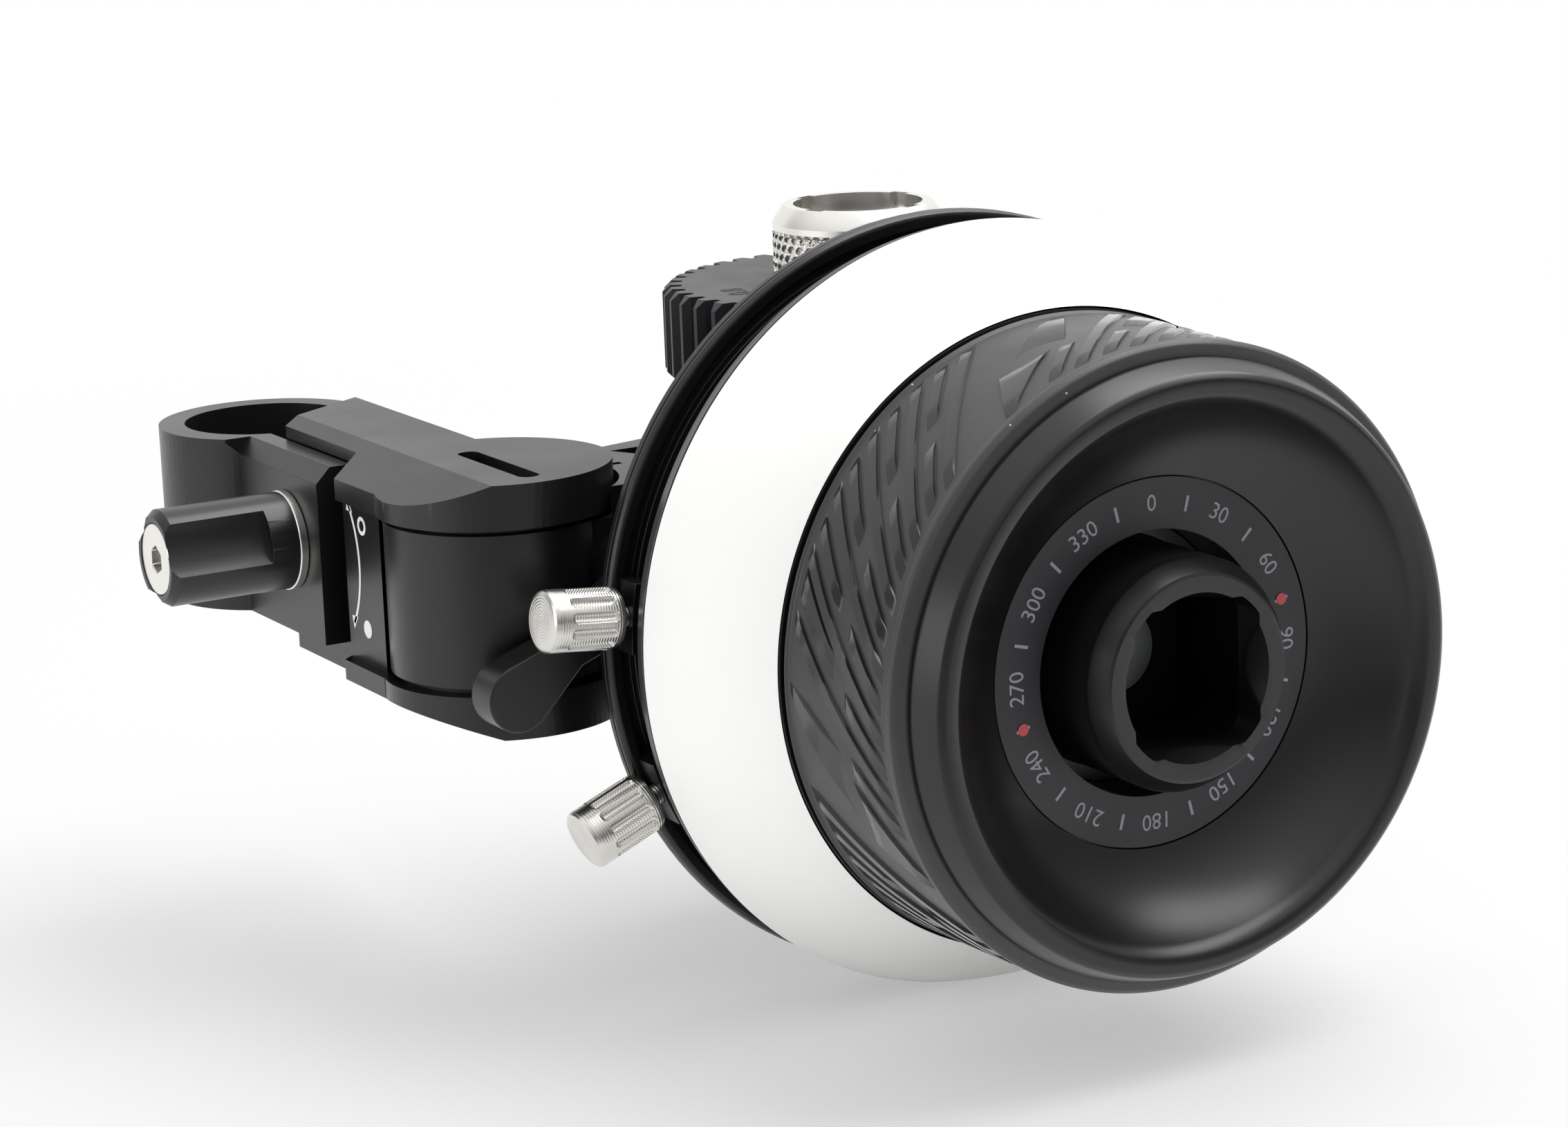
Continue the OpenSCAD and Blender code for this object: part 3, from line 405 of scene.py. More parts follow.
def ring_tree():
    """Geometry nodes: copies of a unit set round an axis, then put in place."""
    tree = bpy.data.node_groups.new("copies_round_axis", "GeometryNodeTree")
    face = tree.interface
    for label, kind, value in (
            ("Unit", "Object", None), ("Count", "Int", 12), ("First Angle", "Float", 0.0),
            ("Axis", "Vector", (0, 0, 1)), ("Centre", "Vector", (0, 0, 0)), ("Material", "Material", None)):
        made = face.new_socket(label, in_out="INPUT", socket_type="NodeSocket" + kind)
        if value is not None:
            made.default_value = value
    face.new_socket("Geometry", in_out="OUTPUT", socket_type="NodeSocketGeometry")
    given = tree.nodes.new("NodeGroupInput").outputs
    points = add(tree, "GeometryNodePoints", {"Count": given["Count"]})
    index = add(tree, "GeometryNodeInputIndex")
    step = add(tree, "ShaderNodeMath", {0: 2 * math.pi, 1: given["Count"]}, operation="DIVIDE")
    turn = add(tree, "ShaderNodeMath", {0: index.outputs["Index"], 1: step.outputs[0],
               2: given["First Angle"]}, operation="MULTIPLY_ADD")
    angles = add(tree, "ShaderNodeVectorMath", {0: given["Axis"], "Scale": turn.outputs[0]},
                 operation="SCALE")
    unit = add(tree, "GeometryNodeObjectInfo", {"Object": given["Unit"]})
    turned = add(tree, "FunctionNodeEulerToRotation", {0: angles.outputs[0]})
    copies = add(tree, "GeometryNodeInstanceOnPoints", {"Points": points.outputs[0],
                 "Instance": unit.outputs["Geometry"], "Rotation": turned.outputs[0]})
    placed = add(tree, "GeometryNodeTransform", {"Geometry": copies.outputs[0],
                 "Translation": given["Centre"]})
    real = add(tree, "GeometryNodeRealizeInstances", {"Geometry": placed.outputs[0]})
    dressed = add(tree, "GeometryNodeSetMaterial", {"Geometry": real.outputs[0],
                  "Material": given["Material"]})
    out = tree.nodes.new("NodeGroupOutput")
    tree.links.new(dressed.outputs[0], out.inputs["Geometry"])
    return tree


def grown(name, tree, finish, **inputs):
    """Runs a geometry nodes tree once and keeps its result as a plain mesh."""
    piece = bpy.data.objects.new(name, bpy.data.meshes.new(name))
    bpy.context.scene.collection.objects.link(piece)
    modifier = piece.modifiers.new("grow", "NODES")
    modifier.node_group = tree
    named = {item.name: item.identifier for item in tree.interface.items_tree if item.in_out == "INPUT"}
    for label, value in {**inputs, "Material": MATERIALS[finish]}.items():
        modifier[named[label.replace("_", " ")]] = value
    bake_modifiers(piece)
    smooth(piece.data)
    return piece


def unit_object(name, verts, faces):
    """A small object from points in millimetres, with its faces pointing outwards."""
    mesh = bpy.data.meshes.new(name)
    mesh.from_pydata([tuple(c * MM for c in v) for v in verts], [], faces)
    body = bmesh.new()
    body.from_mesh(mesh)
    bmesh.ops.recalc_face_normals(body, faces=body.faces)
    body.to_mesh(mesh)
    body.free()
    made = bpy.data.objects.new(name, mesh)
    bpy.context.scene.collection.objects.link(made)
    return made


def thin_print(name, outline, low, high, upright=False):
    """A thin slab in millimetres from a flat outline, between two heights.

    The outline is over x and y, or over y and z when it stands upright."""
    count = len(outline)
    verts = [(level, u, v) if upright else (u, v, level) for level in (low, high) for u, v in outline]
    faces = [tuple(range(count)), tuple(range(2 * count - 1, count - 1, -1))]
    faces += [(i, (i + 1) % count, count + (i + 1) % count, count + i) for i in range(count)]
    return unit_object(name, verts, faces)


def round_outline(centre, radius, count):
    angles = [2 * math.pi * i / count for i in range(count)]
    return [(centre[0] + radius * math.cos(a), centre[1] + radius * math.sin(a)) for a in angles]


def lettering(name, words, size_mm, thick_mm, place, finish):
    """Generic figures as a thin mesh, centred on a place and facing its local +Z."""
    font = bpy.data.curves.new(name, "FONT")
    font.body = words
    font.size = size_mm * MM
    font.extrude = thick_mm * MM / 2
    font.align_x = "CENTER"
    font.align_y = "CENTER"
    font.resolution_u = 3
    holder = bpy.data.objects.new(name + "_curve", font)
    bpy.context.scene.collection.objects.link(holder)
    bpy.context.view_layer.update()
    mesh = bpy.data.meshes.new_from_object(holder.evaluated_get(bpy.context.evaluated_depsgraph_get()))
    bpy.data.objects.remove(holder)
    mesh.transform(place)
    mesh.materials.clear()
    return new_object(name, mesh, finish)


def wheel_place(angle_deg, radius, depth):
    """A place on the wheel's front, upright at its angle, facing forwards."""
    angle = math.radians(angle_deg)
    spot = Vector((AXIS_X + radius * MM * math.cos(angle), FRONT_Y + depth * MM,
                   AXIS_Z + radius * MM * math.sin(angle)))
    upright = Matrix.Rotation(-(angle - math.pi / 2), 4, "Y") @ Matrix.Rotation(math.pi / 2, 4, "X")
    return Matrix.Translation(spot) @ upright


# ---------------------------------------------------------------- settings

class FollowFocusTones(bpy.types.PropertyGroup):
    anodised: FloatVectorProperty(name="Anodised black",
                                  description="Colour of the blasted black aluminium",
                                  size=3, subtype="COLOR", default=linear("#0d0d0f")[:3])
    floor: FloatVectorProperty(name="Floor", description="Colour of the pale floor",
                               size=3, subtype="COLOR", default=(0.93, 0.93, 0.93))


class FollowFocusSizes(bpy.types.PropertyGroup):
    edge: FloatProperty(name="Broken edge", description="Width of the small bevels on machined edges",
                        default=0.25 * MM, subtype="DISTANCE", unit="LENGTH")
    bar_height: FloatProperty(name="Bar height", description="Height of the raised bars on the rubber grip",
                              default=0.28 * MM, subtype="DISTANCE", unit="LENGTH")
    bar_width: FloatProperty(name="Bar width", description="Width of a raised bar on the rubber grip",
                             default=1.25 * MM, subtype="DISTANCE", unit="LENGTH")
    bar_sectors: IntProperty(name="Grip sectors", default=4, min=2, max=8,
                             description="Times the bar pattern repeats round the grip")
    knurl_rows: IntProperty(name="Knurl points", description="Knurl points round the lock nut", default=44,
                            min=20, max=80)
    lamp_power: FloatProperty(name="Key lamp", description="Power of the large lamp over the object",
                              default=5.6, subtype="POWER", unit="POWER")


# ---------------------------------------------------------------- pieces

class OBJECT_OT_follow_focus_wheel(bpy.types.Operator):
    """Makes the hand wheel: rim, concave dish, well and hub with the shaped socket"""
    bl_idname = "object.follow_focus_wheel"
    bl_label = "Hand Wheel"

    def execute(self, context):
        flat, corner = 6.1, 2.2

        def socket(angle):
            """Radius of a square hole with round corners, at an angle."""
            x, y = abs(math.cos(angle)), abs(math.sin(angle))
            big, small = max(x, y), min(x, y)
            side = flat / big
            if side * small > flat - corner:
                centre = Vector((flat - corner, flat - corner))
                along = Vector((x, y)).dot(centre)
                side = along + math.sqrt(max(0, corner ** 2 - (centre.length_squared - along ** 2)))
            return side

        lead_start, lead_end, lead_rows = 0.56, 3.5, 12
        lead_r, lead_slope = 7.05, 1.25 / 3.1

        def lead_in(depth):
            """A profile point where the cone at the socket's mouth widens the square."""
            cone = lead_r - (depth - 0.4) * lead_slope
            return lambda angle: max(socket(angle), cone), depth

        step = (lead_end - lead_start) / lead_rows
        well_r, well_depth = LABEL_RADII[0], 12.1
        hub = [(3.7, 13.6), (3.7, well_depth - 0.1), (socket, well_depth - 0.1), (socket, lead_end)]
        hub += [lead_in(lead_start + step * i) for i in range(lead_rows, -1, -1)] + [(7.5, 0.5)]
        front = [(8.35, 0.5), (8.6, 0.62), (9.55, 2.05), (9.7, 2.4), (9.7, 12.0), (9.8, 12.2),
                 (well_r - 0.1, 12.2), (well_r, well_depth), (well_r, 7.2),
                 (LABEL_RADII[1], 7.2), (LABEL_RADII[1], 6.75)]

        # the dish is an arc of a circle from the label's edge up to the rim
        low, high = math.radians(20), math.radians(62)
        curve = 6.85 / (math.sin(high) - math.sin(low))
        bowl = []
        for i in range(14):
            t = low + (high - low) * i / 14
            bowl.append((LABEL_RADII[1] + curve * (math.sin(t) - math.sin(low)),
                         6.6 - curve * (math.cos(low) - math.cos(t))))
        outer = softened([
            (22.3, 0.65), (22.9, 0.15), (23.5, 0.0), (FLANGE_R - 1.4, 0.05), (FLANGE_R - 0.9, 0.4),
            (FLANGE_R - 0.4, 1.6), (FLANGE_R, 2.8), (FLANGE_R, 3.2), (CORE_R, 3.2), (CORE_R, 24.0),
            (19.0, 24.0), (19.0, 9.9), (12.6, 9.9), (12.6, 14.4), (9.0, 14.4), (9.0, 20.0),
            (5.02, 20.0), (5.02, 15.5), (2.1, 15.5)], 0.2)
        profile = [(2.1, 13.6)] + hub + front + bowl + outer
        wheel = lathe("hand_wheel_dressed", profile, WHEEL_FRAME, "dish", 320)
        # painted shade: the socket's bore takes the near-black finish that stands in for its shade
        second_finish(wheel, "bore", (0, 8), (3.4, 13.7))
        settle(wheel, "wheel", "black_aluminium", "hand_wheel")
        return {"FINISHED"}


class OBJECT_OT_follow_focus_grip(bpy.types.Operator):
    """Makes the rubber grip with its slanted raised bars"""
    bl_idname = "object.follow_focus_grip"
    bl_label = "Rubber Grip"

    def execute(self, context):
        sizes = context.scene.follow_focus_sizes
        high = sizes.bar_height / MM
        wide = sizes.bar_width / MM

        front, back = GRIP_DEPTHS
        inner = CORE_R + 0.06

        def top(depth):
            """Radius of the bars' tops: the grip is a slight cone."""
            return GRIP_R - 0.3 + (depth - 3.9) * 0.3 / 15.6

        profile = softened([
            (inner, front), (GRIP_R - 1.4, front), (GRIP_R - 0.65, front + 0.25),
            (GRIP_R - 0.3, front + 0.6), (GRIP_R - 0.3, 4.5), (top(4.9) - high, 4.8),
            (top(19.3) - high, 19.2), (GRIP_R, back - 0.5), (GRIP_R - 0.3, back), (inner, back)], 0.14)
        base = lathe("grip_ring_dressed", profile, WHEEL_FRAME, "rubber", 256)

        # degrees of slant for each millimetre of depth, and where a bar's own angle is measured
        slant, slant_from = 2.1, 5.4
        side_run, sunk, end_drop = 0.16, 0.12, 0.25
        verts, faces = [], []

        def bar(angle, start, stop, breadth, taper=0.0):
            """One bar, slanted along the cone; its sides run down into the ground."""
            steps = max(3, int((stop - start) * 1.2))
            first = len(verts)
            for i in range(steps + 1):
                depth = start + (stop - start) * i / steps
                mid = angle + slant * (depth - slant_from)
                level = top(depth)
                half = math.degrees(breadth * (1 - taper * (1 - i / steps)) / 2 / level)
                slope = math.degrees(side_run / level)
                cut = 0.02 + (end_drop if i in (0, steps) else 0.0)
                for offset, drop in ((-half - slope, high + sunk), (-half, cut), (half, cut),
                                     (half + slope, high + sunk)):
                    turn = math.radians(mid + offset)
                    r = level - drop
                    verts.append((r * math.cos(turn), r * math.sin(turn), depth))
            for i in range(steps):
                for j in range(3):
                    a = first + i * 4 + j
                    faces.append((a, a + 1, a + 5, a + 4))
                faces.append((first + i * 4 + 3, first + i * 4, first + i * 4 + 4, first + i * 4 + 7))
            faces.append(tuple(first + j for j in range(4)))
            last = first + steps * 4
            faces.append(tuple(last + 3 - j for j in range(4)))

        # long bars with two short ones between them, and a wedge from each end of the sector
        pitch = 11.6
        for k in range(6):
            bar(14 + pitch * k, 5.4, 18.8, wide)
        for k in range(5):
            bar(19.8 + pitch * k, 5.6, 10.8, wide)
            bar(19.8 + pitch * k, 12.6, 18.6, wide)
        bar(8.2, 5.6, 10.8, wide)
        bar(-68.2, 12.6, 18.6, wide)
        bar(-1.5, 5.2, 11.2, 5.2, 0.8)
        bar(1.0, 19.0, 12.2, 5.2, 0.8)
        unit = unit_object("grip_sector", verts, faces)
        bars = grown("grip_bars_dressed", ring_tree(), "rubber_gloss", Unit=unit,
                     Count=sizes.bar_sectors, First_Angle=math.radians(150), Axis=(0, 0, 1),
                     Centre=(0, 0, 0))
        bars.data.transform(WHEEL_FRAME)
        bpy.data.objects.remove(unit)
        settle(base, "wheel", "grip_rubber", "grip_ring")
        settle(bars, "wheel", "grip_rubber")
        return {"FINISHED"}


class OBJECT_OT_follow_focus_disc(bpy.types.Operator):
    """Makes the white marking disc and the black carrier behind it"""
    bl_idname = "object.follow_focus_disc"
    bl_label = "Marking Disc"

    def execute(self, context):
        (start, stop), inner = DISC_DEPTHS, DISC_INNER_R
        run, rise = stop - start, DISC_R - inner
        chord = math.hypot(rise, run)
        bow, steps = 0.7, 16
        skin = []
        for i in range(steps):
            t = i / steps
            lift = bow * 4 * t * (1 - t)
            skin.append((inner + rise * t + lift * run / chord, start + run * t - lift * rise / chord))
        profile = skin + [(DISC_R, stop - 0.15), (DISC_R - 0.15, stop), (31.7, stop), (inner, 21.6)]
        disc = lathe("marking_disc_dressed", profile, WHEEL_FRAME, "white", 256)
        settle(disc, "wheel", "white_disc", "marking_disc")
        profile = softened([
            (22.6, 20.2), (27.2, 20.2), (27.2, 21.9), (31.5, 31.9), (DISC_R, 31.9), (33.0, 33.4),
            (31.8, 33.5), (31.8, 34.7), (28.0, 34.7), (28.0, 30.0), (24.5, 24.0), (22.6, 24.0)], 0.18)
        carrier = lathe("disc_carrier_dressed", profile, WHEEL_FRAME, "dish", 256)
        # the bevel round its edge
        second_finish(carrier, "cut", (32.9, 40), (31.95, 33.35))
        settle(carrier, "wheel", "black_aluminium", "disc_carrier")
        return {"FINISHED"}


class OBJECT_OT_follow_focus_label(bpy.types.Operator):
    """Makes the label ring with plain dial figures, ticks and dots"""
    bl_idname = "object.follow_focus_label"
    bl_label = "Label Ring"

    def execute(self, context):
        near, far, back = LABEL_RADII[0] + 0.02, LABEL_RADII[1] - 0.12, 7.2
        profile = softened([(near, LABEL_FRONT), (far, LABEL_FRONT), (far, back), (near, back)], 0.06)
        ring = lathe("label_ring_dressed", profile, WHEEL_FRAME, "label", 192)
        settle(ring, "wheel", "label_print", "label_ring")

        # every print is 0.03 mm thick and centred on one circle, with a figure each 30 degrees
        print_r, thick = 13.2, 0.03
        figures = [lettering("figure", str(30 * i), 1.95, thick,
                             wheel_place(90 - 30 * i, print_r, LABEL_FRONT - 0.01), "ink_grey")
                   for i in range(12)]
        settle(join("label_figures", figures), "wheel", "label_print")
        tick_near, tick_far, tick_half = print_r - 0.65, print_r + 0.65, 0.13
        tick = thin_print("tick", [(tick_near, -tick_half), (tick_far, -tick_half),
                                   (tick_far, tick_half), (tick_near, tick_half)], 0, thick)
        marks = [grown("ticks", ring_tree(), "ink_grey", Unit=tick, Count=4,
                       First_Angle=math.radians(15 * k), Axis=(0, 0, 1), Centre=(0, 0, 6.6 * MM))
                 for k in (1, 3, 5)]
        ticks = join("label_ticks", marks)
        ticks.data.transform(WHEEL_FRAME)
        settle(ticks, "wheel", "label_print")
        bpy.data.objects.remove(tick)
        dot = thin_print("dot", round_outline((print_r, 0), 0.5, 16), 0, thick)
        dots = grown("label_dots", ring_tree(), "ink_red", Unit=dot, Count=2,
                     First_Angle=math.radians(345), Axis=(0, 0, 1), Centre=(0, 0, 6.56 * MM))
        dots.data.transform(WHEEL_FRAME)
        settle(dots, "wheel", "label_print")
        bpy.data.objects.remove(dot)
        return {"FINISHED"}


class OBJECT_OT_follow_focus_plate(bpy.types.Operator):
    """Makes the fixed back plate, and dresses the arm, its case and cover"""
    bl_idname = "object.follow_focus_plate"
    bl_label = "Arm and Back Plate"

    def execute(self, context):
        for node in ("back_plate", "gear_housing", "housing_cover"):
            settle(machined(node, "anodised", 0.2), "arm", "black_aluminium", node)
        return {"FINISHED"}


class OBJECT_OT_follow_focus_bracket(bpy.types.Operator):
    """Dresses the rod clamp and bracket, with the marks beside the lock lever"""
    bl_idname = "object.follow_focus_bracket"
    bl_label = "Rod Clamp and Bracket"

    def execute(self, context):
        edge = context.scene.follow_focus_sizes.edge / MM
        settle(machined("rod_bracket", "anodised", edge), "bracket", "black_aluminium", "rod_bracket")

        def printed(name, outline):
            """A thin print on the bracket's left face, from (y, z) points."""
            made = thin_print(name, outline, BRACKET_SIDE + 0.01, BRACKET_SIDE - 0.03, upright=True)
            made.data.materials.append(MATERIALS["ink_white"])
            return made

        def arc(centre, radius, start, stop, half, steps=28):
            """The outline of a bent strip, from its inner side back along its outer side."""
            spots = [math.radians(start + (stop - start) * i / steps) for i in range(steps + 1)]
            return [(centre[0] + r * math.cos(t), centre[1] + r * math.sin(t))
                    for r, row in ((radius - half, spots), (radius + half, spots[::-1])) for t in row]

        # a sweep between an open ring and a filled dot: lever open, lever closed
        sweep = printed("lever_sweep", arc((-21.4, 0.1), 9.1, 144, 216, 0.16))
        tips = [printed("tip", [(-28.7, 5.95), (-29.6, 4.8), (-28.35, 4.85)]),
                printed("tip", [(-28.7, -5.75), (-28.35, -4.6), (-29.6, -4.55)])]
        opened = printed("open_mark", arc((-31.4, 3.9), 0.66, 0, 360, 0.17))
        closed = printed("closed_mark", round_outline((-31.5, -5.3), 0.8, 20))
        settle(join("lever_marks", [sweep, opened, closed] + tips), "bracket", "label_print")
        return {"FINISHED"}


def thumbscrew(node, joint):
    """A fluted thumbscrew over its CAD node, turned about the axis of its joint."""
    hinge = next(j for j in frame["joints"] if j["name"] == joint)
    start, axis = Vector(hinge["pos_m"]), Vector(hinge["axis"]).normalized()
    spots = []
    for vert in frame["nodes"][node].data.vertices:
        along = (vert.co - start).dot(axis)
        spots.append((along / MM, (vert.co - start - axis * along).length / MM))
    stud_start, head_end = min(spots)[0], max(spots)[0]
    head_r = max(r for _, r in spots)
    head_start = min(h for h, r in spots if r > head_r - 0.6)
    stud_r = min(r for h, r in spots if h < head_start - 0.5 and r > 0.3)
    # flutes cut by a ball that runs along the head, its centre just outside the surface
    cutter, outside, count = 0.45, 0.04, 12
    flute_start, flute_end = head_start + 1.3, head_end - 2.1

    def fluted(height):
        past = max(flute_start - height, height - flute_end, 0)

        def radius(angle):
            turn = (angle * count / (2 * math.pi)) % 1 - 0.5
            across = head_r * turn * 2 * math.pi / count
            left = cutter ** 2 - across ** 2 - past ** 2
            return head_r - max(0, math.sqrt(max(0, left)) - outside)
        return radius

    rows = [head_start + 0.5, head_start + 0.8]
    rows += [flute_start + cutter * t for t in (-1, -0.9, -0.7, -0.4, 0)]
    rows += [flute_end + cutter * t for t in (0, 0.4, 0.7, 0.9, 1)]
    rows += [head_end - 0.9, head_end - 0.42]
    profile = [(0, stud_start), (stud_r, stud_start), (stud_r, head_start), (head_r - 0.5, head_start),
               (head_r - 0.12, head_start + 0.18)] + [(fluted(h), h) for h in rows]
    profile += [(head_r - 0.1, head_end - 0.16), (head_r - 0.3, head_end - 0.03), (head_r - 0.42, head_end),
                (head_r * 0.5, head_end), (0, head_end)]
    place = Matrix.Translation(start) @ axis.to_track_quat("Z", "Y").to_matrix().to_4x4()
    made = lathe(node + "_dressed", profile, place, "faced", count * 20)
    # the distance along the surface from the axis, which carries the turning rings
    inverse = place.inverted()
    turned = made.data.attributes.new("turned_mm", "FLOAT", "POINT")
    for vert in made.data.vertices:
        spot = inverse @ vert.co / MM
        turned.data[vert.index].value = math.hypot(spot.x, spot.y) + spot.z
    return made


class OBJECT_OT_follow_focus_controls(bpy.types.Operator):
    """Dresses the clamp knob, the lock lever and the hard stops"""
    bl_idname = "object.follow_focus_controls"
    bl_label = "Knobs, Lever and Stops"

    def execute(self, context):
        for node, body, slot, finish, edge in (
                ("clamp_knob", "clamp", "black_knob", "turned", 0.25),
                ("clamp_bolt", "clamp", "stainless", "stainless", 0.08),
                ("clamp_washer", "clamp", "stainless", "stainless", 0.1),
                ("lock_lever", "lever", "black_aluminium", "anodised", 0.3),
                ("lever_stud", "lever", "stainless", "steel", 0.08),
                ("stop_a_block", "stop_a", "black_aluminium", "anodised", 0.15),
                ("stop_b_block", "stop_b", "black_aluminium", "anodised", 0.15)):
            settle(machined(node, finish, edge), body, slot, node)
        for side in "ab":
            node = f"stop_{side}_screw"
            settle(thumbscrew(node, node), f"stop_{side}_knob", "stainless", node)
        return {"FINISHED"}


class OBJECT_OT_follow_focus_gear(bpy.types.Operator):
    """Makes the toothed lens gear and the knurled nut on its shaft"""
    bl_idname = "object.follow_focus_gear"
    bl_label = "Lens Gear and Nut"

    def execute(self, context):
        settle(machined("lens_gear", "acetal", 0.12), "drive", "black_aluminium", "lens_gear")
        figure_r, turn = 12.6 * MM, math.radians(178)
        spot = Matrix.Translation((GEAR_X + figure_r * math.cos(turn), GEAR_Y + figure_r * math.sin(turn),
                                   GEAR_TOP + 0.005 * MM)) @ Matrix.Rotation(math.radians(80), 4, "Z")
        figure = lettering("gear_size_figure", "0.8", 3.0, 0.04, spot, "ink_dark")
        settle(figure, "drive", "label_print")
        rows = context.scene.follow_focus_sizes.knurl_rows
        tall = (NUT_HIGH[2] - NUT_LOW[2]) / MM

        groove_depth, groove_share, lead = 0.42, 0.26, 0.62
        bore_r, notch_r = 5.85, 6.5

        def knurled(height):
            """Two crossed sets of grooves; the radius falls near either one."""
            def radius(angle):
                u = angle * rows / (2 * math.pi)
                v = height / (2 * math.pi * NUT_R / rows) * lead
                a, b = (u + v) % 1, (u - v) % 1
                nearest = min(a, 1 - a, b, 1 - b)
                return NUT_R - groove_depth * max(0, 1 - nearest / groove_share)
            return radius

        def notched(angle):
            """The bore, with four notches for a key."""
            turn = (math.degrees(angle) - 20 + 45) % 90 - 45
            return notch_r if abs(turn) < 8.5 else bore_r

        profile = [(notched, tall - 1.4), (bore_r, tall - 1.42), (bore_r, 0.2), (6.05, 0.0), (7.2, 0.0),
                   (7.35, 0.15)]
        profile += [(knurled(h / 8), h / 8) for h in range(2, int((tall - 2.3) * 8))]
        profile += [(NUT_R - 0.3, tall - 2.28), (NUT_R - 0.02, tall - 2.1), (NUT_R - 0.02, tall - 1.55),
                    (NUT_R - 0.2, tall - 1.2), (6.85, tall - 0.1), (6.72, tall), (6.6, tall),
                    (notched, tall)]
        place = Matrix.Translation((GEAR_X, GEAR_Y, NUT_LOW[2]))
        nut = lathe("lock_nut_dressed", profile, place, "stainless", rows * 10)
        settle(nut, "nut", "stainless", "lock_nut")
        return {"FINISHED"}


class OBJECT_OT_follow_focus_inside(bpy.types.Operator):
    """Gives the pieces inside the wheel, arm and case their metals"""
    bl_idname = "object.follow_focus_inside"
    bl_label = "Inside Pieces"

    def execute(self, context):
        inside = {
            "brass": ("clamp_insert", "lever_insert", "idler_gear", "output_gear"),
            "bronze": ("idler_bushes", "output_bushes"),
            "oxide": ("cover_screws", "plate_screws", "carrier_screws", "stop_dog"),
            "acetal": ("friction_washers",),
            "steel": ("pivot_bolt", "bearing_outers", "bearing_inners", "wheel_shaft", "hub_screw",
                      "shaft_spacer", "shaft_circlip", "wheel_bevel", "bevel_pin", "idler_shaft",
                      "idler_bevel", "idler_pins", "output_shaft", "output_pin", "gear_key")}
        for finish, nodes in inside.items():
            for node in nodes:
                finishes = frame["nodes"][node].data.materials
                if not finishes:
                    finishes.append(None)
                for i in range(len(finishes)):
                    finishes[i] = MATERIALS[finish]
        return {"FINISHED"}


def floor_paint(tones):
    """Pale painted board, with how much of its shadow the camera and the gloss see, and a painted shadow
    that only the gloss sees.
    """
    made = bpy.data.materials.new("painted_board_pale")
    made.use_nodes = True
    tree = made.node_tree
    bsdf = tree.nodes["Principled BSDF"]
    path = add(tree, "ShaderNodeLightPath")
    tone = add(tree, "ShaderNodeMix", {"Factor": path.outputs["Is Camera Ray"], "A": (*tones.floor, 1),
               "B": (0.62, 0.62, 0.62, 1)}, data_type="RGBA")
    tree.links.new(tone.outputs["Result"], bsdf.inputs["Base Color"])
    bsdf.inputs["Roughness"].default_value = 0.9
    bsdf.inputs["Specular IOR Level"].default_value = 0.1

    # the camera sees the shadow near the object, and plain white board farther off
    place = add(tree, "ShaderNodeNewGeometry").outputs["Position"]
    off = add(tree, "ShaderNodeVectorMath", {0: place, 1: (CENTRE.x, CENTRE.y, FLOOR_Z)},
              operation="DISTANCE")
    bare = add(tree, "ShaderNodeMapRange", {"Value": off.outputs["Value"], "From Min": 0.1,
               "From Max": 0.32, "To Min": 0.42, "To Max": 1.0})
    seen = add(tree, "ShaderNodeMath", {0: path.outputs["Is Camera Ray"], 1: bare.outputs["Result"]},
               operation="MULTIPLY")
    mirrored = add(tree, "ShaderNodeMath", {0: path.outputs["Is Glossy Ray"], 1: 0.8},
                   operation="MULTIPLY")
    share = add(tree, "ShaderNodeMath", {0: seen.outputs[0], 1: mirrored.outputs[0]},
                operation="MAXIMUM")

    # painted shadow: reflections see a dark patch of floor on the camera's side, dimmed in the floor's
    # glow; the camera doesn't
    away = add(tree, "ShaderNodeVectorMath", {0: place, 1: (-0.112, -0.285, FLOOR_Z)},
               operation="DISTANCE")
    shade = add(tree, "ShaderNodeMapRange", {"Value": away.outputs["Value"], "From Min": 0.12,
                "From Max": 0.21, "To Min": 0.1, "To Max": 1.0})
    level = add(tree, "ShaderNodeMath", {0: shade.outputs["Result"], 1: path.outputs["Is Camera Ray"]},
                operation="MAXIMUM")
    white = add(tree, "ShaderNodeEmission", {"Color": (1, 1, 1, 1), "Strength": level.outputs[0]})
    blend = add(tree, "ShaderNodeMixShader", {0: share.outputs[0], 1: bsdf.outputs[0],
                2: white.outputs[0]})
    tree.links.new(blend.outputs[0], tree.nodes["Material Output"].inputs["Surface"])
    return made


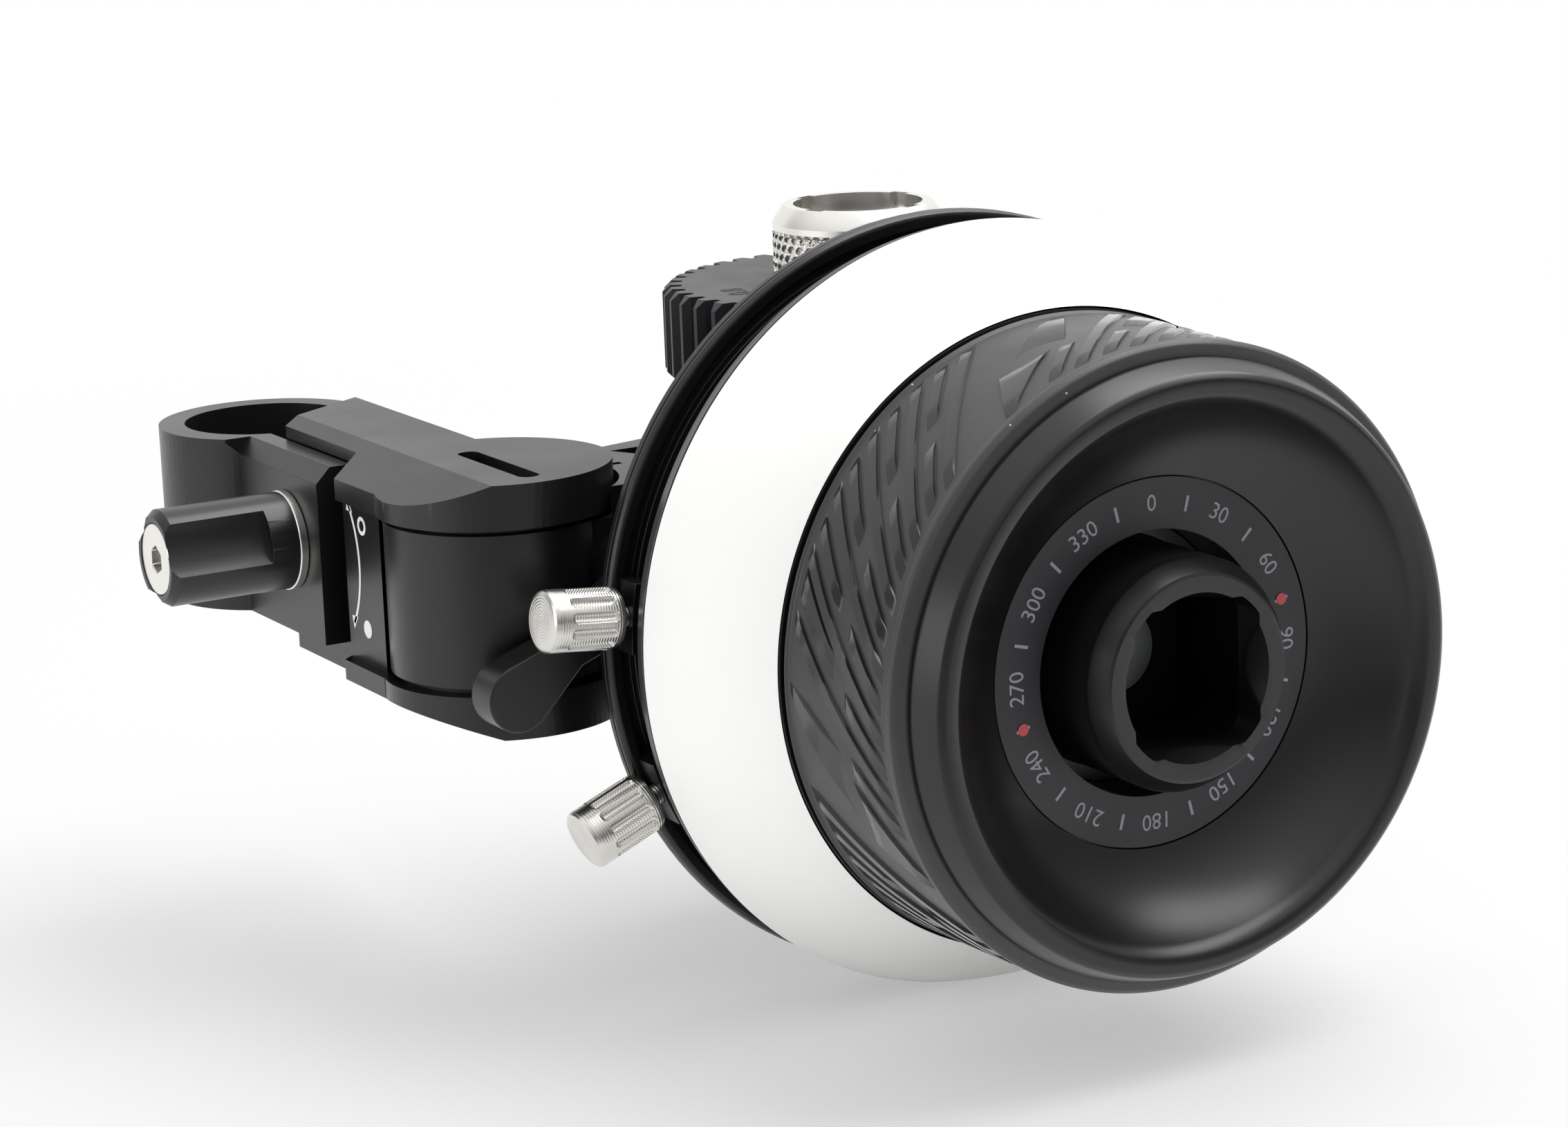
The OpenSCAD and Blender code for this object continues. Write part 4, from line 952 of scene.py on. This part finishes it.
def white_tent(scene):
    """A white light tent round the object; the camera sees it as plain white."""
    world = scene.world or bpy.data.worlds.new("studio")
    scene.world = world
    world.use_nodes = True
    tree = world.node_tree
    tree.nodes.clear()
    path = add(tree, "ShaderNodeLightPath")
    seen = add(tree, "ShaderNodeMath", {0: path.outputs["Is Camera Ray"],
               1: path.outputs["Is Transmission Ray"]}, operation="MAXIMUM")
    # brighter overhead than at the sides
    where = add(tree, "ShaderNodeTexCoord").outputs["Generated"]
    high = add(tree, "ShaderNodeSeparateXYZ", {0: where})
    level = add(tree, "ShaderNodeMapRange", {"Value": high.outputs["Z"], "From Min": 0.1,
                "From Max": 0.85, "To Min": 0.15, "To Max": 1.15})
    # and with a white backdrop beyond the object
    beyond = add(tree, "ShaderNodeVectorMath", {0: where, 1: (0.5, 0.87, 0.0)},
                 operation="DOT_PRODUCT")
    backdrop = add(tree, "ShaderNodeMapRange", {"Value": beyond.outputs["Value"], "From Min": 0.1,
                   "From Max": 0.6, "To Min": 0.0, "To Max": 1.05})
    light = add(tree, "ShaderNodeMath", {0: level.outputs["Result"], 1: backdrop.outputs["Result"]},
                operation="MAXIMUM")
    soft = add(tree, "ShaderNodeBackground", {"Color": (1, 1, 1, 1), "Strength": light.outputs[0]})
    bright = add(tree, "ShaderNodeBackground", {"Color": (1, 1, 1, 1), "Strength": 1.0})
    mix = add(tree, "ShaderNodeMixShader", {0: seen.outputs[0], 1: soft.outputs[0],
              2: bright.outputs[0]})
    add(tree, "ShaderNodeOutputWorld", {"Surface": mix.outputs[0]})


class OBJECT_OT_follow_focus_stage(bpy.types.Operator):
    """Sets the pale floor, the soft lamps and the camera"""
    bl_idname = "object.follow_focus_stage"
    bl_label = "Stage"

    def execute(self, context):
        scene = context.scene
        bpy.ops.mesh.primitive_plane_add(size=6, location=(CENTRE.x, CENTRE.y, FLOOR_Z))
        floor = context.object
        floor.name = "floor"
        floor.data.materials.append(floor_paint(scene.follow_focus_tones))
        white_tent(scene)

        power = scene.follow_focus_sizes.lamp_power
        for name, offset, height, size, share in (("key", (0.34, -0.05), 0.66, (0.7, 0.6), 1.0),
                                                  ("side", (-0.72, 0.06), 0.14, (0.5, 0.3), 0.19)):
            data = bpy.data.lights.new(name, "AREA")
            data.shape = "RECTANGLE"
            data.size, data.size_y = size
            data.energy = power * share
            lamp = bpy.data.objects.new(name, data)
            scene.collection.objects.link(lamp)
            lamp.location = (CENTRE.x + offset[0], CENTRE.y + offset[1], height)
            lamp.rotation_euler = (CENTRE - lamp.location).to_track_quat("-Z", "Y").to_euler()

        data = bpy.data.cameras.new("photo_view")
        data.lens = CAMERA_LENS_MM
        data.sensor_width = SENSOR_MM
        data.clip_start = 0.01
        view = bpy.data.objects.new("photo_view", data)
        scene.collection.objects.link(view)
        turn = Matrix((CAMERA_RIGHT, CAMERA_UP, -CAMERA_AHEAD)).transposed().to_4x4()
        view.matrix_world = Matrix.Translation(CAMERA_PLACE) @ turn
        scene.camera = view
        scene.view_settings.view_transform = "Standard"
        return {"FINISHED"}


OPERATORS = (OBJECT_OT_follow_focus_wheel, OBJECT_OT_follow_focus_grip, OBJECT_OT_follow_focus_disc,
             OBJECT_OT_follow_focus_label, OBJECT_OT_follow_focus_plate, OBJECT_OT_follow_focus_bracket,
             OBJECT_OT_follow_focus_controls, OBJECT_OT_follow_focus_gear, OBJECT_OT_follow_focus_inside,
             OBJECT_OT_follow_focus_stage)


class VIEW3D_PT_follow_focus(bpy.types.Panel):
    bl_label = "Follow Focus Unit"
    bl_space_type = "VIEW_3D"
    bl_region_type = "UI"
    bl_category = "Follow Focus"

    def draw(self, context):
        for settings in (context.scene.follow_focus_sizes, context.scene.follow_focus_tones):
            for name in settings.bl_rna.properties.keys():
                if name not in ("rna_type", "name"):
                    self.layout.prop(settings, name)
        for made in OPERATORS:
            self.layout.operator(made.bl_idname)


CLASSES = (FollowFocusTones, FollowFocusSizes) + OPERATORS + (VIEW3D_PT_follow_focus,)


def register():
    for made in CLASSES:
        bpy.utils.register_class(made)
    bpy.types.Scene.follow_focus_tones = PointerProperty(type=FollowFocusTones)
    bpy.types.Scene.follow_focus_sizes = PointerProperty(type=FollowFocusSizes)


def unregister():
    del bpy.types.Scene.follow_focus_sizes
    del bpy.types.Scene.follow_focus_tones
    for made in reversed(CLASSES):
        bpy.utils.unregister_class(made)


def main():
    register()
    make_materials(bpy.context.scene.follow_focus_tones)
    for made in OPERATORS:
        group, name = made.bl_idname.split(".")
        getattr(getattr(bpy.ops, group), name)()


if __name__ == "__main__":
    main()
